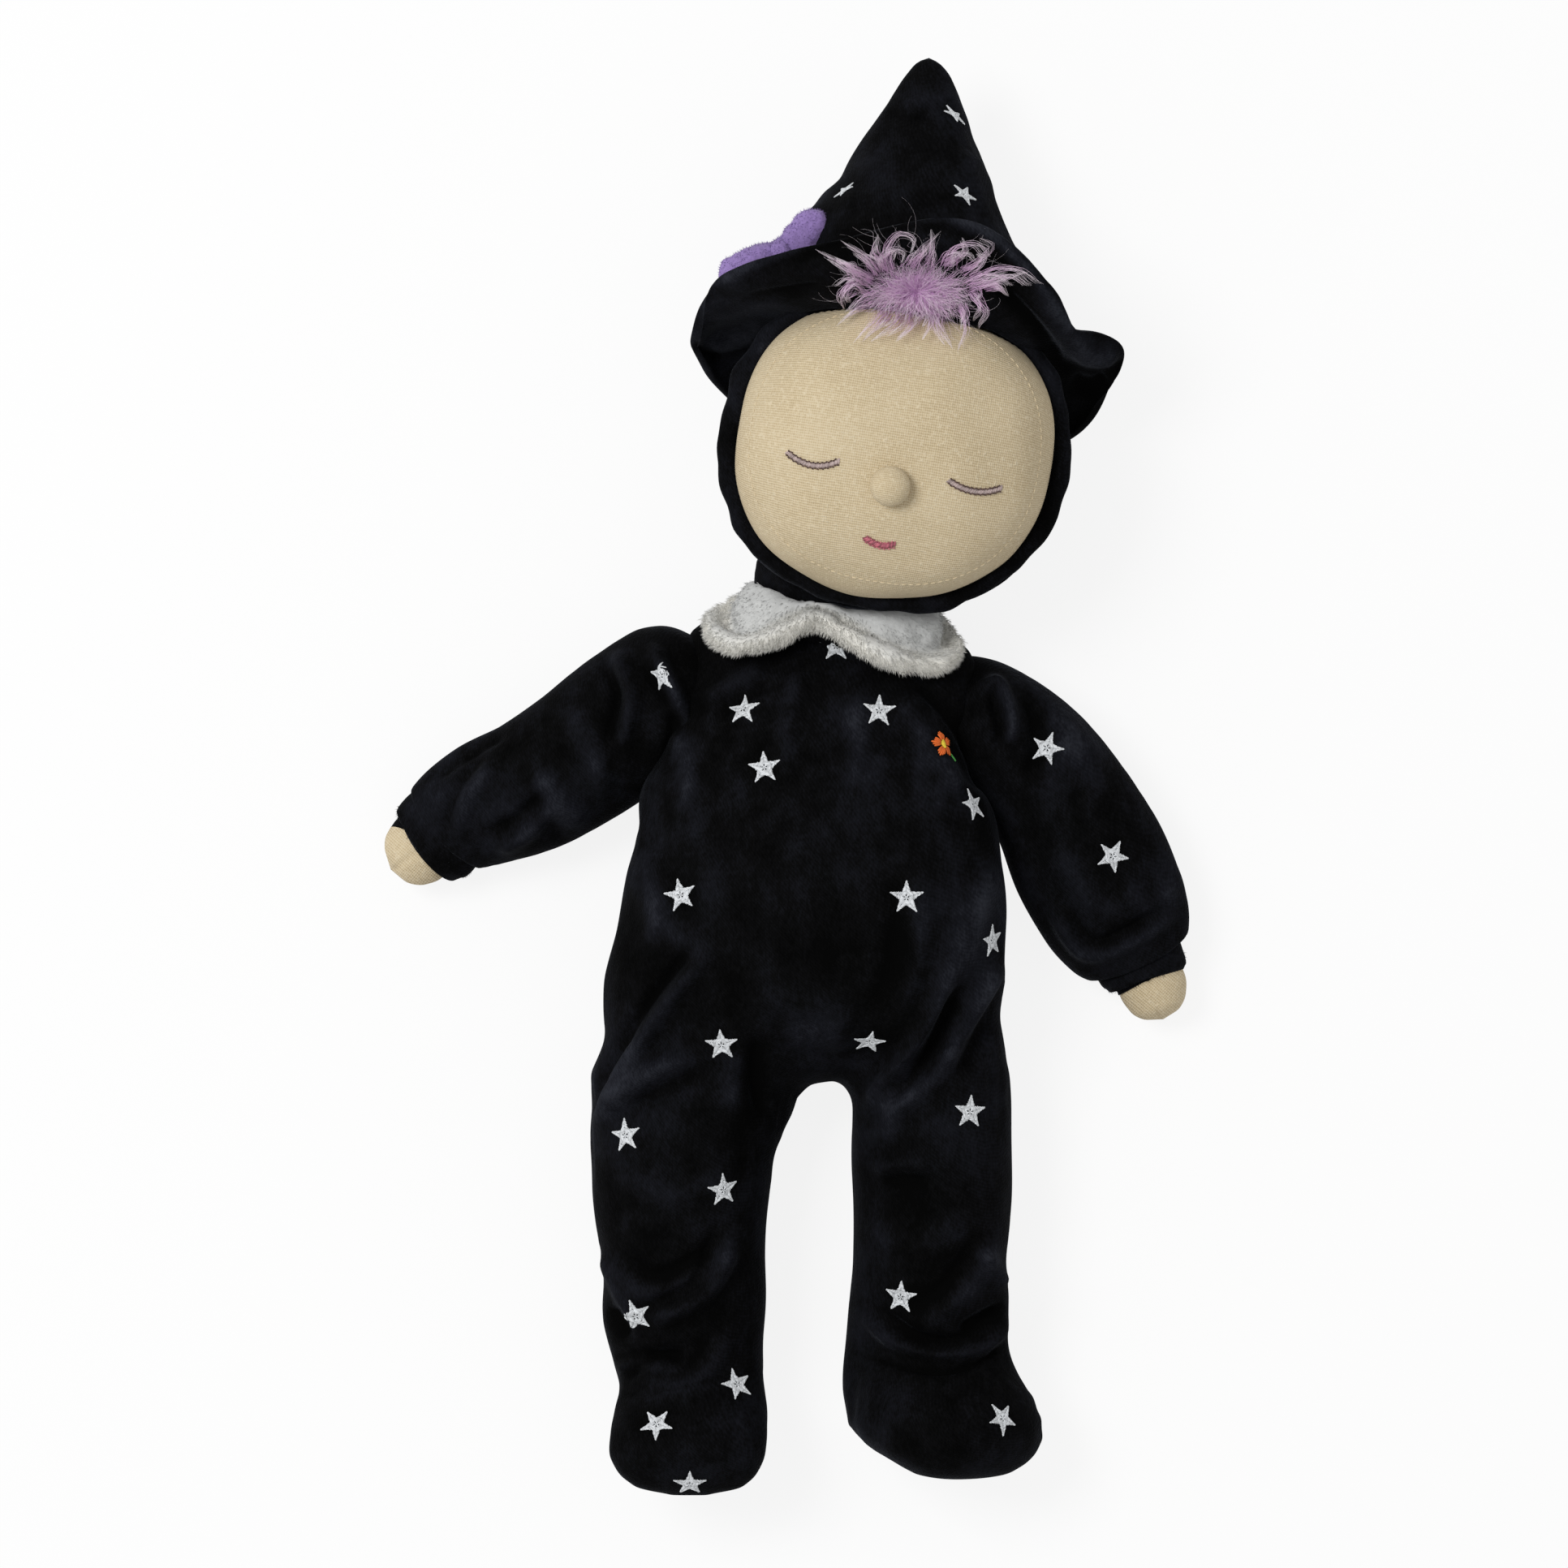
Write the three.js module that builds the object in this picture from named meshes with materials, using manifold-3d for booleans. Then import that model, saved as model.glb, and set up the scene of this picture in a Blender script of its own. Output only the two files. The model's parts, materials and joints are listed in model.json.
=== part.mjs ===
// A cloth witch doll lying on its back: stuffed velour sleepsuit, hooded head, fluted hat, bow and collar.
// Millimetres. +X is the viewer's right, +Y runs from feet to hat, +Z rises from the table to the face.
// Left and right are the viewer's.

import * as THREE from "three";
import { mergeVertices } from "three/addons/utils/BufferGeometryUtils.js";
import Module from "manifold-3d";

const wasm = await Module();
wasm.setup();

// Cloth and gaps
const skin = 1.6; // one layer of velour with its backing
const clearance = 0.3; // between pieces that touch
const seamGap = 0.8; // between a ball of stuffing and the seam that turns around it
const pressed = 0.5; // how deep the table flattens whatever lies on it

// Facets
const limbFacets = 14;
const bodyFacets = 18;
const socketFacets = 18;
const ballFacets = 12;
const ballRings = 0.6; // rings of a ball for each of its facets
const domeRings = 4;
const domeCrop = 0.6; // share of a dome's last ring that stays flat

// Torso, measured up from the seat. Stations hold half widths, half depths and the lift off the table.
const torso = {
  lean: 4.4, // degrees, towards the viewer's right
  topDome: 4,
  rings: 6,
  stations: [
    { at: 19, wide: 59, deep: 29, lift: 0 },
    { at: 54, wide: 59, deep: 34, lift: 0 },
    { at: 88, wide: 52.5, deep: 30, lift: 0 },
    { at: 114, wide: 46, deep: 24, lift: 0 },
    { at: 134, wide: 35, deep: 19, lift: 6 },
    { at: 147, wide: 24, deep: 16, lift: 14 },
  ],
};

// Arms, measured from the centre of the shoulder. The turn and curl differ as the limp arms lie.
const arm = {
  spread: 50.6, // shoulder centre from the torso's middle
  height: 115, // shoulder centre above the seat
  ball: 20.5, // rounded sleeve head
  cuff: 7,
  cuffWall: 2,
  hand: 21, // what shows past the cuff
  handWide: 11.5,
  handDeep: 10,
  opening: 10, // half the armhole's width
  fingertip: 11,
  raised: [-22, 8, 35, 62], // degrees up from the table, at each of which the chest leaves it room
  left: { turn: -61, curl: 0, lowest: -44 }, // degrees out from hanging down, and the limp arm's bend
  right: { turn: 41, curl: -18, lowest: 31 },
  rings: 5,
  tip: 2.5,
  stations: [
    { at: 24, wide: 20.5, deep: 18.5 },
    { at: 48, wide: 21.5, deep: 17.5 },
    { at: 60, wide: 18.5, deep: 15.5 },
    { at: 65, wide: 14.5, deep: 12.5 },
  ],
};

// Legs, measured down from the centre of the hip
const leg = {
  spread: 36,
  height: 6,
  ball: 26.5,
  opening: 13,
  raised: [-10, 70], // furthest backward and forward swing, at each of which the seat leaves it room
  rings: 4,
  tip: 8,
  stations: [
    { at: 30, wide: 26, deep: 24 },
    { at: 60, wide: 24, deep: 21.5 },
    { at: 88, wide: 22.5, deep: 20 },
  ],
};

// Feet, measured from the heel to the toe. The sole is a panel of its own.
const foot = {
  heel: 18, // heel behind the ankle
  instep: 17, // ankle above the sole
  sole: 2,
  pointed: 38, // degrees that the toes point away from upright
  turnOut: { left: 2, right: 36 },
  rings: 4,
  toe: 12,
  stations: [
    { at: 12, wide: 18.5, deep: 15 },
    { at: 32, wide: 22.5, deep: 16.5 },
    { at: 48, wide: 21.5, deep: 14 },
  ],
};

// Neck and head, measured from the middle of the neck
const neck = { shift: 7.5, height: 143, lift: 36, ball: 19 };
const head = {
  tilt: 5, // degrees past the torso's lean
  rise: 53, // middle of the head above the middle of the neck
  lift: 50.5, // middle of the head above the table
  wide: 52,
  high: 49,
  deep: 47,
  faceCloth: 1.2,
};
const rim = { forward: 12, proud: 0.7, across: 2.1, along: 3.6, steps: 28, sides: 6 };
const nose = { radius: 6, drop: 10.4, side: 2 };

// Hat, seated round the top of the head on a slope that is higher in front
const hat = {
  drop: 13, // edge of the hat below the top of the head
  slope: 0.31, // rise of that edge towards the front
  tall: 73, // tip above the top of the head
  tipRadius: 5,
  tipSide: -8.9,
  tipBack: -14,
  bulge: 0.2,
  rings: 4,
  facets: 16,
};

// Brim: where its edge lies, going round from the front, as a reach out from the hat and a rise
const brim = {
  thick: 3.2,
  steps: 36,
  across: 3,
  knee: 0.3, // share of the rise at the middle of the curl
  flutes: [
    { turn: 0, out: 13, rise: 29 },
    { turn: 31, out: 19, rise: 23.5 },
    { turn: 50, out: 22, rise: 8 },
    { turn: 74, out: 23.5, rise: 7 },
    { turn: 89, out: 23.5, rise: 0 },
    { turn: 103, out: 20, rise: -19 },
    { turn: 127, out: 17, rise: -26 },
    { turn: 180, out: 7, rise: -26 },
    { turn: 234, out: 18.5, rise: -29 },
    { turn: 257, out: 20, rise: -25 },
    { turn: 275, out: 26.5, rise: -11 },
    { turn: 291, out: 28, rise: 4.5 },
    { turn: 321, out: 20, rise: 19 },
  ],
};

const tuft = { wide: 15, high: 11, deep: 9, up: 49, forward: 31 };
const bow = {
  turn: 280, // round from the front
  out: 8, // knot from the hat's edge, and above it
  up: 19,
  slant: 38,
  loop: 21,
  girth: 8.5,
  flat: 0.7,
  knot: 5,
  rings: 6,
  pinch: 0.15, // where along its swell a loop starts at the knot
  fullness: 0.7,
};

// Collar: two lobes sewn into the neck seam, falling over the shoulders
const collar = {
  seamWide: 23,
  seamDeep: 18,
  seamHeight: 147,
  seamDip: 5, // the seam is lower in front
  lift: 31,
  edgeWide: 41,
  edgeDeep: 29,
  fall: 14,
  frontFall: 3,
  thick: 2.6,
  roll: 5.4, // thickness of the rolled edge
  notch: 5, // degrees between a lobe and the middle, front and back
  cornerCut: 0.5, // share of the fall that the corner loses
  lobe: 36, // degrees over which a lobe's front corner rounds off
  steps: 12,
  under: 0.7, // shares of the fall: the band's end underneath, the roll's start and top, and its lip
  rollFrom: 0.65,
  rollTop: 0.85,
  lip: 1.06,
};

const cloth = {
  velour: new THREE.MeshStandardMaterial({ color: "#11121a", roughness: 0.95, metalness: 0 }),
  cotton: new THREE.MeshStandardMaterial({ color: "#dec89b", roughness: 0.9, metalness: 0 }),
  plush: new THREE.MeshStandardMaterial({ color: "#cdcdcb", roughness: 0.95, metalness: 0 }),
  bowPlush: new THREE.MeshStandardMaterial({ color: "#9673c8", roughness: 0.95, metalness: 0 }),
  hair: new THREE.MeshStandardMaterial({ color: "#c79ad6", roughness: 0.9, metalness: 0 }),
  filling: new THREE.MeshStandardMaterial({ color: "#f2f0ea", roughness: 1, metalness: 0 }),
};

// Solids and cuts

function solidOf(geometry) {
  geometry.deleteAttribute("normal");
  geometry.deleteAttribute("uv");
  const merged = mergeVertices(geometry);
  const triangles = new Uint32Array(merged.index.array);
  const make = (triVerts) =>
    new wasm.Manifold(
      new wasm.Mesh({ numProp: 3, vertProperties: merged.attributes.position.array, triVerts }),
    );
  const solid = make(triangles);
  return solid.volume() > 0 ? solid : make(triangles.toReversed());
}

// Sections of equal count joined into one closed surface, end to end as a ring or capped at both ends.
function skinned(sections, ring = false) {
  const count = sections[0].length;
  const points = sections.flat();
  const triangles = [];
  const rows = ring ? sections.length : sections.length - 1;
  for (let row = 0; row < rows; row++) {
    const here = row * count;
    const there = ((row + 1) % sections.length) * count;
    for (let i = 0; i < count; i++) {
      const j = (i + 1) % count;
      triangles.push(here + i, here + j, there + j);
      triangles.push(here + i, there + j, there + i);
    }
  }
  const cap = (row, swap) => {
    const middle = new THREE.Vector3();
    sections[row].forEach((point) => middle.addScaledVector(point, 1 / count));
    points.push(middle);
    for (let i = 0; i < count; i++) {
      const pair = [row * count + i, row * count + ((i + 1) % count)];
      triangles.push(points.length - 1, ...(swap ? pair.reverse() : pair));
    }
  };
  if (!ring) {
    cap(0, true);
    cap(sections.length - 1, false);
  }
  return new THREE.BufferGeometry().setFromPoints(points).setIndex(triangles);
}

function ball(radius, middle, facets = ballFacets) {
  const shape = new THREE.SphereGeometry(radius, facets, Math.round(facets * ballRings));
  return solidOf(shape.translate(...middle));
}

// A hollow that a ball of the given radius can turn in.
const socket = (radius, middle) => ball(radius + seamGap, middle, socketFacets);

// A block from one corner to the other, for trimming.
function blockShape(low, high) {
  const size = new THREE.Vector3().subVectors(high, low);
  const middle = new THREE.Vector3().addVectors(low, high).multiplyScalar(0.5);
  return new THREE.BoxGeometry(...size).translate(...middle);
}

const far = 400; // past every edge of the doll
const table = solidOf(blockShape(new THREE.Vector3(-far, -far, -far), new THREE.Vector3(far, far, 0)));

// Cuts a solid and keeps its largest piece, as offcuts are thrown away.
function cut(solid, ...cutters) {
  const left = cutters.reduce((rest, cutter) => rest.subtract(cutter), solid);
  return left.decompose().reduce((most, piece) => (piece.volume() > most.volume() ? piece : most));
}

function mesh(name, solid, material, group) {
  const { vertProperties, triVerts } = solid.getMesh();
  const geometry = new THREE.BufferGeometry();
  geometry.setAttribute("position", new THREE.BufferAttribute(vertProperties, 3));
  geometry.setIndex(new THREE.BufferAttribute(triVerts, 1));
  geometry.computeVertexNormals();
  const made = new THREE.Mesh(geometry, material);
  made.name = name;
  group.add(made);
}

// Stuffed forms

const radians = THREE.MathUtils.degToRad;

function circle(count, pointAt) {
  return Array.from({ length: count }, (_, i) => {
    const angle = (i / count) * 2 * Math.PI;
    return pointAt(Math.cos(angle), Math.sin(angle), angle);
  });
}

// Sizes at any distance along a form, smoothly through its stations.
function sizesAlong(stations) {
  const places = stations.map((station) => station.at);
  const values = stations.flatMap(({ wide, deep, lift = 0 }) => [wide, deep, lift]);
  const smooth = new THREE.CubicInterpolant(places, values, 3);
  return (at) => {
    const [wide, deep, lift] = smooth.evaluate(THREE.MathUtils.clamp(at, places[0], places.at(-1)));
    return { wide, deep, lift };
  };
}

// Place and heading along a spine that runs down a limb and curls evenly past its root.
function downSpine(curl, length) {
  const bend = radians(curl) / length;
  return (at) => {
    const heading = bend * Math.max(at, 0);
    if (heading === 0) return { x: 0, y: -at, heading };
    return { x: (1 - Math.cos(heading)) / bend, y: -Math.sin(heading) / bend, heading };
  };
}

const upSpine = (at) => ({ x: 0, y: at, heading: 0 });

// Oval rings along a spine, lying on the table, with a round dome at each end. An inset shrinks the form.
function stuffedShape({ stations, rings, facets, spine, root, tip, rootRings = domeRings }, inset = 0) {
  const sizes = sizesAlong(stations);
  const first = stations[0].at;
  const last = stations.at(-1).at;
  const places = [];
  for (let i = 1; i <= rootRings; i++) {
    const angle = ((i - domeCrop) / (rootRings - domeCrop)) * (Math.PI / 2);
    places.push({ at: first - (root - inset) * Math.cos(angle), scale: Math.sin(angle) });
  }
  for (let i = 1; i <= rings; i++) {
    places.push({ at: THREE.MathUtils.lerp(first, last, i / rings), scale: 1 });
  }
  for (let i = 1; i < domeRings; i++) {
    const angle = (i / (domeRings - domeCrop)) * (Math.PI / 2);
    places.push({ at: last + (tip - inset) * Math.sin(angle), scale: Math.cos(angle) });
  }
  const sections = places.map(({ at, scale }) => {
    const { wide, deep, lift } = sizes(at);
    const { x, y, heading } = spine(at);
    return circle(facets, (down, across) => {
      const side = across * (wide - inset) * scale;
      const z = lift + deep - pressed - down * (deep - inset) * scale;
      return new THREE.Vector3(x + side * Math.cos(heading), y + side * Math.sin(heading), z);
    });
  });
  return skinned(sections);
}

const stuffed = (form, inset) => solidOf(stuffedShape(form, inset));

// A limb's stations, starting with its ball at the pivot
const rooted = (limb) => [{ at: 0, wide: limb.ball, deep: limb.ball }, ...limb.stations];

const sides = [
  ["left", -1],
  ["right", 1],
];

// Torso

const doll = new THREE.Group();
const torsoGroup = new THREE.Group();
torsoGroup.rotation.z = -radians(torso.lean);
doll.add(torsoGroup);

const torsoForm = (inset) =>
  stuffed(
    { ...torso, facets: bodyFacets, spine: upSpine, root: torso.stations[0].at, tip: torso.topDome },
    inset,
  );
const shoulderAt = (side) => new THREE.Vector3(side * arm.spread, arm.height, arm.ball - pressed);
const hipAt = (side) => {
  const levelled = leg.height + side * leg.spread * Math.tan(radians(torso.lean));
  return new THREE.Vector3(side * leg.spread, levelled, leg.ball - pressed);
};
const neckAt = new THREE.Vector3(neck.shift, neck.height, neck.lift);

// A round limb of a given radius, hanging down from a pivot.
function hanging(radius) {
  const room = radius + seamGap;
  return new THREE.CylinderGeometry(room, room, far, socketFacets).translate(0, -far / 2, 0);
}

// Room for a limb wherever it is raised, at one turn out from hanging down.
function swingRoom(limb, turn, pivot) {
  return limb.raised.map((raise) => {
    const swung = hanging(limb.ball).rotateX(-radians(raise)).rotateZ(radians(turn + torso.lean));
    return solidOf(swung.translate(...pivot));
  });
}

const neckSocket = socket(neck.ball, neckAt);
const limbSockets = sides.flatMap(([name, side]) => [
  socket(arm.ball, shoulderAt(side)),
  ...swingRoom(arm, arm[name].lowest, shoulderAt(side)),
  socket(leg.ball, hipAt(side)),
  ...swingRoom(leg, 0, hipAt(side)),
]);
mesh(
  "suit_body",
  cut(torsoForm(0), torsoForm(skin), neckSocket, ...limbSockets, table),
  cloth.velour,
  torsoGroup,
);
mesh(
  "body_filling",
  cut(torsoForm(skin + clearance), neckSocket, ...limbSockets, table),
  cloth.filling,
  torsoGroup,
);
mesh("neck", ball(neck.ball, neckAt), cloth.velour, torsoGroup);

// Collar

// A lobe's section at an angle round from the front: a band of cloth from the neck seam to its rolled edge.
function collarSection(angle, side) {
  const across = side * Math.sin(angle);
  const ahead = Math.cos(angle);
  const seam = new THREE.Vector3(
    across * collar.seamWide,
    collar.seamHeight - collar.seamDip * ahead,
    collar.lift + ahead * collar.seamDeep,
  );
  const edge = new THREE.Vector3(
    across * collar.edgeWide,
    seam.y - collar.fall - collar.frontFall * ahead,
    collar.lift + ahead * collar.edgeDeep,
  );
  const corner = THREE.MathUtils.smoothstep(angle, 0, radians(collar.lobe));
  edge.lerp(seam, collar.cornerCut * (1 - corner));
  const run = new THREE.Vector3().subVectors(edge, seam).normalize();
  const round = new THREE.Vector3(ahead, 0, -across);
  const up = new THREE.Vector3().crossVectors(round, run).normalize();
  const at = (share, height) => seam.clone().lerp(edge, share).addScaledVector(up, height);
  const half = collar.thick / 2;
  const roll = collar.roll - half;
  return [
    at(0, -half),
    at(collar.under, -half),
    at(1, -half / 2),
    at(collar.lip, roll / 2),
    at(1, roll),
    at(collar.rollTop, roll),
    at(collar.rollFrom, half),
    at(0, half),
  ];
}

for (const [name, side] of sides) {
  const sections = [];
  for (let step = 0; step <= collar.steps; step++) {
    const degrees = THREE.MathUtils.lerp(collar.notch, 180 - collar.notch, step / collar.steps);
    sections.push(collarSection(radians(degrees), side));
  }
  const shoulder = socket(arm.ball, shoulderAt(side));
  const lobe = cut(solidOf(skinned(sections)), torsoForm(-clearance), shoulder, neckSocket);
  mesh("collar_" + name, lobe, cloth.plush, torsoGroup);
}

// The half space on the body's side of a limb's pivot
const inboard = solidOf(blockShape(new THREE.Vector3(-far, 0, -far), new THREE.Vector3(far, far, far)));

// A hole through the closed root of a limb's skin, where it is sewn to the body
function rootHole(limb) {
  const hole = new THREE.CylinderGeometry(limb.opening, limb.opening, limb.ball, limbFacets);
  return solidOf(hole.translate(0, limb.ball, limb.ball - pressed));
}

// Skin, wad at the root and filling of a limb whose form takes an inset. The end cutter opens the far end.
function limbPieces(names, limb, form, endCutter, group) {
  const pivot = new THREE.Vector3(0, 0, limb.ball - pressed);
  const wadRoom = ball(limb.ball - skin, pivot);
  mesh(names.skin, cut(form(0), form(skin), rootHole(limb), endCutter, table), cloth.velour, group);
  mesh(names.wad, ball(limb.ball - skin - 2 * seamGap, pivot), cloth.filling, group);
  mesh(names.filling, cut(form(skin + clearance), wadRoom, inboard, table), cloth.filling, group);
}

// Arms

for (const [name, side] of sides) {
  const { turn, curl } = arm[name];
  const armGroup = new THREE.Group();
  armGroup.position.copy(shoulderAt(side)).setZ(0);
  armGroup.rotation.z = radians(turn + torso.lean);
  torsoGroup.add(armGroup);

  const sleeveEnd = arm.stations.at(-1);
  const wristAt = sleeveEnd.at + arm.tip;
  const spine = downSpine(curl, wristAt + arm.cuff + arm.hand);
  const sleeveShape = { ...arm, stations: rooted(arm), facets: limbFacets, spine, root: arm.ball };
  const sleeveForm = (inset) => stuffed(sleeveShape, inset);
  // A round stretch of the forearm past the sleeve
  const stretch = (from, to, tip, wide, deep, inset) => {
    const lift = sleeveEnd.deep - deep;
    const stations = [from, to].map((at) => ({ at, wide, deep, lift }));
    const shape = { stations, rings: 2, rootRings: 1, facets: limbFacets, spine, root: clearance, tip };
    return stuffed(shape, inset);
  };
  const fillingEnd = wristAt - skin - clearance;
  const cuffEnd = wristAt + arm.cuff;
  const knuckles = cuffEnd + arm.hand - arm.fingertip;
  const handForm = (inset) =>
    stretch(fillingEnd + 2 * clearance, knuckles, arm.fingertip, arm.handWide, arm.handDeep, inset);
  const cuffWide = arm.handWide + clearance + arm.cuffWall;
  const cuffDeep = arm.handDeep + clearance + arm.cuffWall;
  const cuffForm = stretch(sleeveEnd.at, cuffEnd, clearance, cuffWide, cuffDeep, 0);
  const handRoom = handForm(-clearance);

  const names = { skin: "sleeve_" + name, wad: "shoulder_wad_" + name, filling: "arm_filling_" + name };
  limbPieces(names, arm, sleeveForm, handRoom, armGroup);
  mesh("cuff_" + name, cut(cuffForm, handRoom, sleeveForm(-clearance), table), cloth.velour, armGroup);
  mesh("hand_" + name, cut(handForm(0), table), cloth.cotton, armGroup);
}

// Legs and feet

for (const [name, side] of sides) {
  const legGroup = new THREE.Group();
  legGroup.position.copy(hipAt(side)).setZ(0);
  legGroup.rotation.z = radians(torso.lean);
  torsoGroup.add(legGroup);

  const ankle = leg.stations.at(-1);
  const spine = downSpine(0, ankle.at);
  const legShape = { ...leg, stations: rooted(leg), facets: limbFacets, spine, root: leg.ball };
  const legForm = (inset) => stuffed(legShape, inset);
  // A foot is shaped lying on its sole, heel first, then stood on its heel, pointed and turned out.
  const stand = new THREE.Matrix4().makeTranslation(0, -ankle.at, ankle.deep - pressed);
  stand.multiply(new THREE.Matrix4().makeRotationY(side * radians(foot.turnOut[name])));
  stand.multiply(new THREE.Matrix4().makeRotationX(radians(foot.pointed)));
  stand.multiply(new THREE.Matrix4().makeRotationZ(Math.PI));
  stand.multiply(new THREE.Matrix4().makeRotationX(Math.PI / 2));
  stand.multiply(new THREE.Matrix4().makeTranslation(0, -foot.heel, -foot.instep));
  const heelDome = foot.stations[0].at;
  const footShape = { ...foot, facets: limbFacets, spine: upSpine, root: heelDome, tip: foot.toe };
  const footForm = (inset) => solidOf(stuffedShape(footShape, inset).applyMatrix4(stand));
  const slab = (low, high) => {
    const shape = blockShape(new THREE.Vector3(-far, -far, low), new THREE.Vector3(far, far, high));
    return solidOf(shape.applyMatrix4(stand));
  };
  const underSole = slab(-far, 0);
  const overSole = slab(foot.sole, far);
  const underUpper = slab(-far, foot.sole + clearance);
  const legRoom = legForm(-clearance);
  const ankleHole = footForm(skin + clearance);

  const names = { skin: "leg_" + name, wad: "hip_wad_" + name, filling: "leg_filling_" + name };
  limbPieces(names, leg, legForm, ankleHole, legGroup);
  const upper = cut(footForm(0), footForm(skin), underUpper, legRoom, table);
  mesh("foot_" + name, upper, cloth.velour, legGroup);
  const footCore = cut(footForm(skin + clearance), underUpper, legRoom, table);
  mesh("foot_filling_" + name, footCore, cloth.filling, legGroup);
  mesh("sole_" + name, cut(footForm(0), underSole, overSole, legRoom, table), cloth.velour, legGroup);
}

// Head

const headGroup = new THREE.Group();
headGroup.position.copy(neckAt).setZ(0);
headGroup.rotation.z = -radians(head.tilt);
torsoGroup.add(headGroup);

const headMiddle = new THREE.Vector3(0, head.rise, head.lift);
const headForm = (inset) => {
  const shape = new THREE.SphereGeometry(1, bodyFacets, Math.round(bodyFacets * ballRings));
  shape.scale(head.wide - inset, head.high - inset, head.deep - inset);
  return solidOf(shape.translate(...headMiddle));
};
const neckRoom = socket(neck.ball, new THREE.Vector3(0, 0, neck.lift));
const rimMiddle = head.lift + rim.forward;
const rimReach = rim.along + clearance;
const beforeHood = solidOf(
  blockShape(new THREE.Vector3(-far, -far, rimMiddle - rimReach), new THREE.Vector3(far, far, far)),
);
const behindFace = solidOf(
  blockShape(new THREE.Vector3(-far, -far, -far), new THREE.Vector3(far, far, rimMiddle + rimReach)),
);
mesh("hood", cut(headForm(0), headForm(skin), beforeHood, neckRoom), cloth.velour, headGroup);
mesh("face_panel", cut(headForm(0), headForm(head.faceCloth), behindFace), cloth.cotton, headGroup);
mesh("head_filling", cut(headForm(skin + clearance), neckRoom), cloth.filling, headGroup);

// The rolled rim round the face opening, on the hood's surface.
function rimForm(inset) {
  const level = Math.sqrt(1 - (rim.forward / head.deep) ** 2);
  const sections = circle(rim.steps, (cosine, sine) => {
    const out = new THREE.Vector3(cosine / head.wide, sine / head.high, 0).normalize();
    const middle = new THREE.Vector3(cosine * head.wide * level, sine * head.high * level, rim.forward);
    middle.addScaledVector(out, rim.proud).add(headMiddle);
    return circle(rim.sides, (across, along) => {
      const point = middle.clone().addScaledVector(out, across * (rim.across - inset));
      return point.setZ(point.z + along * (rim.along - inset));
    });
  });
  return solidOf(skinned(sections, true));
}
mesh("hood_rim", cut(rimForm(0), neckRoom), cloth.velour, headGroup);

const noseForward = head.deep * Math.sqrt(1 - (nose.drop / head.high) ** 2 - (nose.side / head.wide) ** 2);
const noseAt = new THREE.Vector3(nose.side, -nose.drop, noseForward).add(headMiddle);
mesh("nose", cut(ball(nose.radius, noseAt), headForm(-clearance)), cloth.cotton, headGroup);

// Hat

const hatWall = clearance + skin; // from the hood to the outside of the crown's edge
const hatSeat = new THREE.Vector3(0, head.high - hat.drop, 0);

// Where the hat's sloping edge meets the hood, going round from the front, pushed out by a distance.
function hatEdge(angle, out) {
  const slope = hat.slope * Math.cos(angle);
  const way = new THREE.Vector3(Math.sin(angle), slope, Math.cos(angle)).normalize();
  const size = new THREE.Vector3(head.wide, head.high, head.deep);
  const from = hatSeat.clone().divide(size);
  const ray = way.clone().divide(size);
  const along = from.dot(ray);
  const root = Math.sqrt(along ** 2 - ray.lengthSq() * (from.lengthSq() - 1));
  const reach = (root - along) / ray.lengthSq();
  return way.multiplyScalar(reach + out).add(hatSeat).add(headMiddle);
}

const crownFoot = hatSeat.clone().add(headMiddle);
const tipRise = head.high + hat.tall - hat.tipRadius;
const crownTip = new THREE.Vector3(hat.tipSide, tipRise, hat.tipBack).add(headMiddle);

// The crown from the hat's edge to its rounded tip. It can start a ring lower, to open the shell.
function crownForm(inset, firstRing = 0) {
  const tipRadius = hat.tipRadius - inset;
  const sections = [];
  for (let ring = firstRing; ring <= hat.rings; ring++) {
    const share = ring / hat.rings;
    const swell = 1 + hat.bulge * 4 * share * (1 - share) ** 2;
    const axis = crownFoot.clone().lerp(crownTip, share);
    const section = circle(hat.facets, (cosine, sine, angle) => {
      const tip = new THREE.Vector3(sine, 0, cosine).multiplyScalar(tipRadius).add(crownTip);
      return hatEdge(angle, hatWall - inset).lerp(tip, share).sub(axis).multiplyScalar(swell).add(axis);
    });
    sections.push(section);
  }
  for (let ring = 1; ring < domeRings; ring++) {
    const rise = (ring / domeRings) * (Math.PI / 2);
    const section = circle(hat.facets, (cosine, sine) => {
      const point = new THREE.Vector3(sine * Math.cos(rise), Math.sin(rise), cosine * Math.cos(rise));
      return point.multiplyScalar(tipRadius).add(crownTip);
    });
    sections.push(section);
  }
  return solidOf(skinned(sections));
}

const hoodRoom = [headForm(-clearance), rimForm(-clearance)];
mesh("hat_crown", cut(crownForm(0), crownForm(skin, -1), ...hoodRoom), cloth.velour, headGroup);
mesh("hat_filling", cut(crownForm(skin + clearance), ...hoodRoom), cloth.filling, headGroup);

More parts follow.
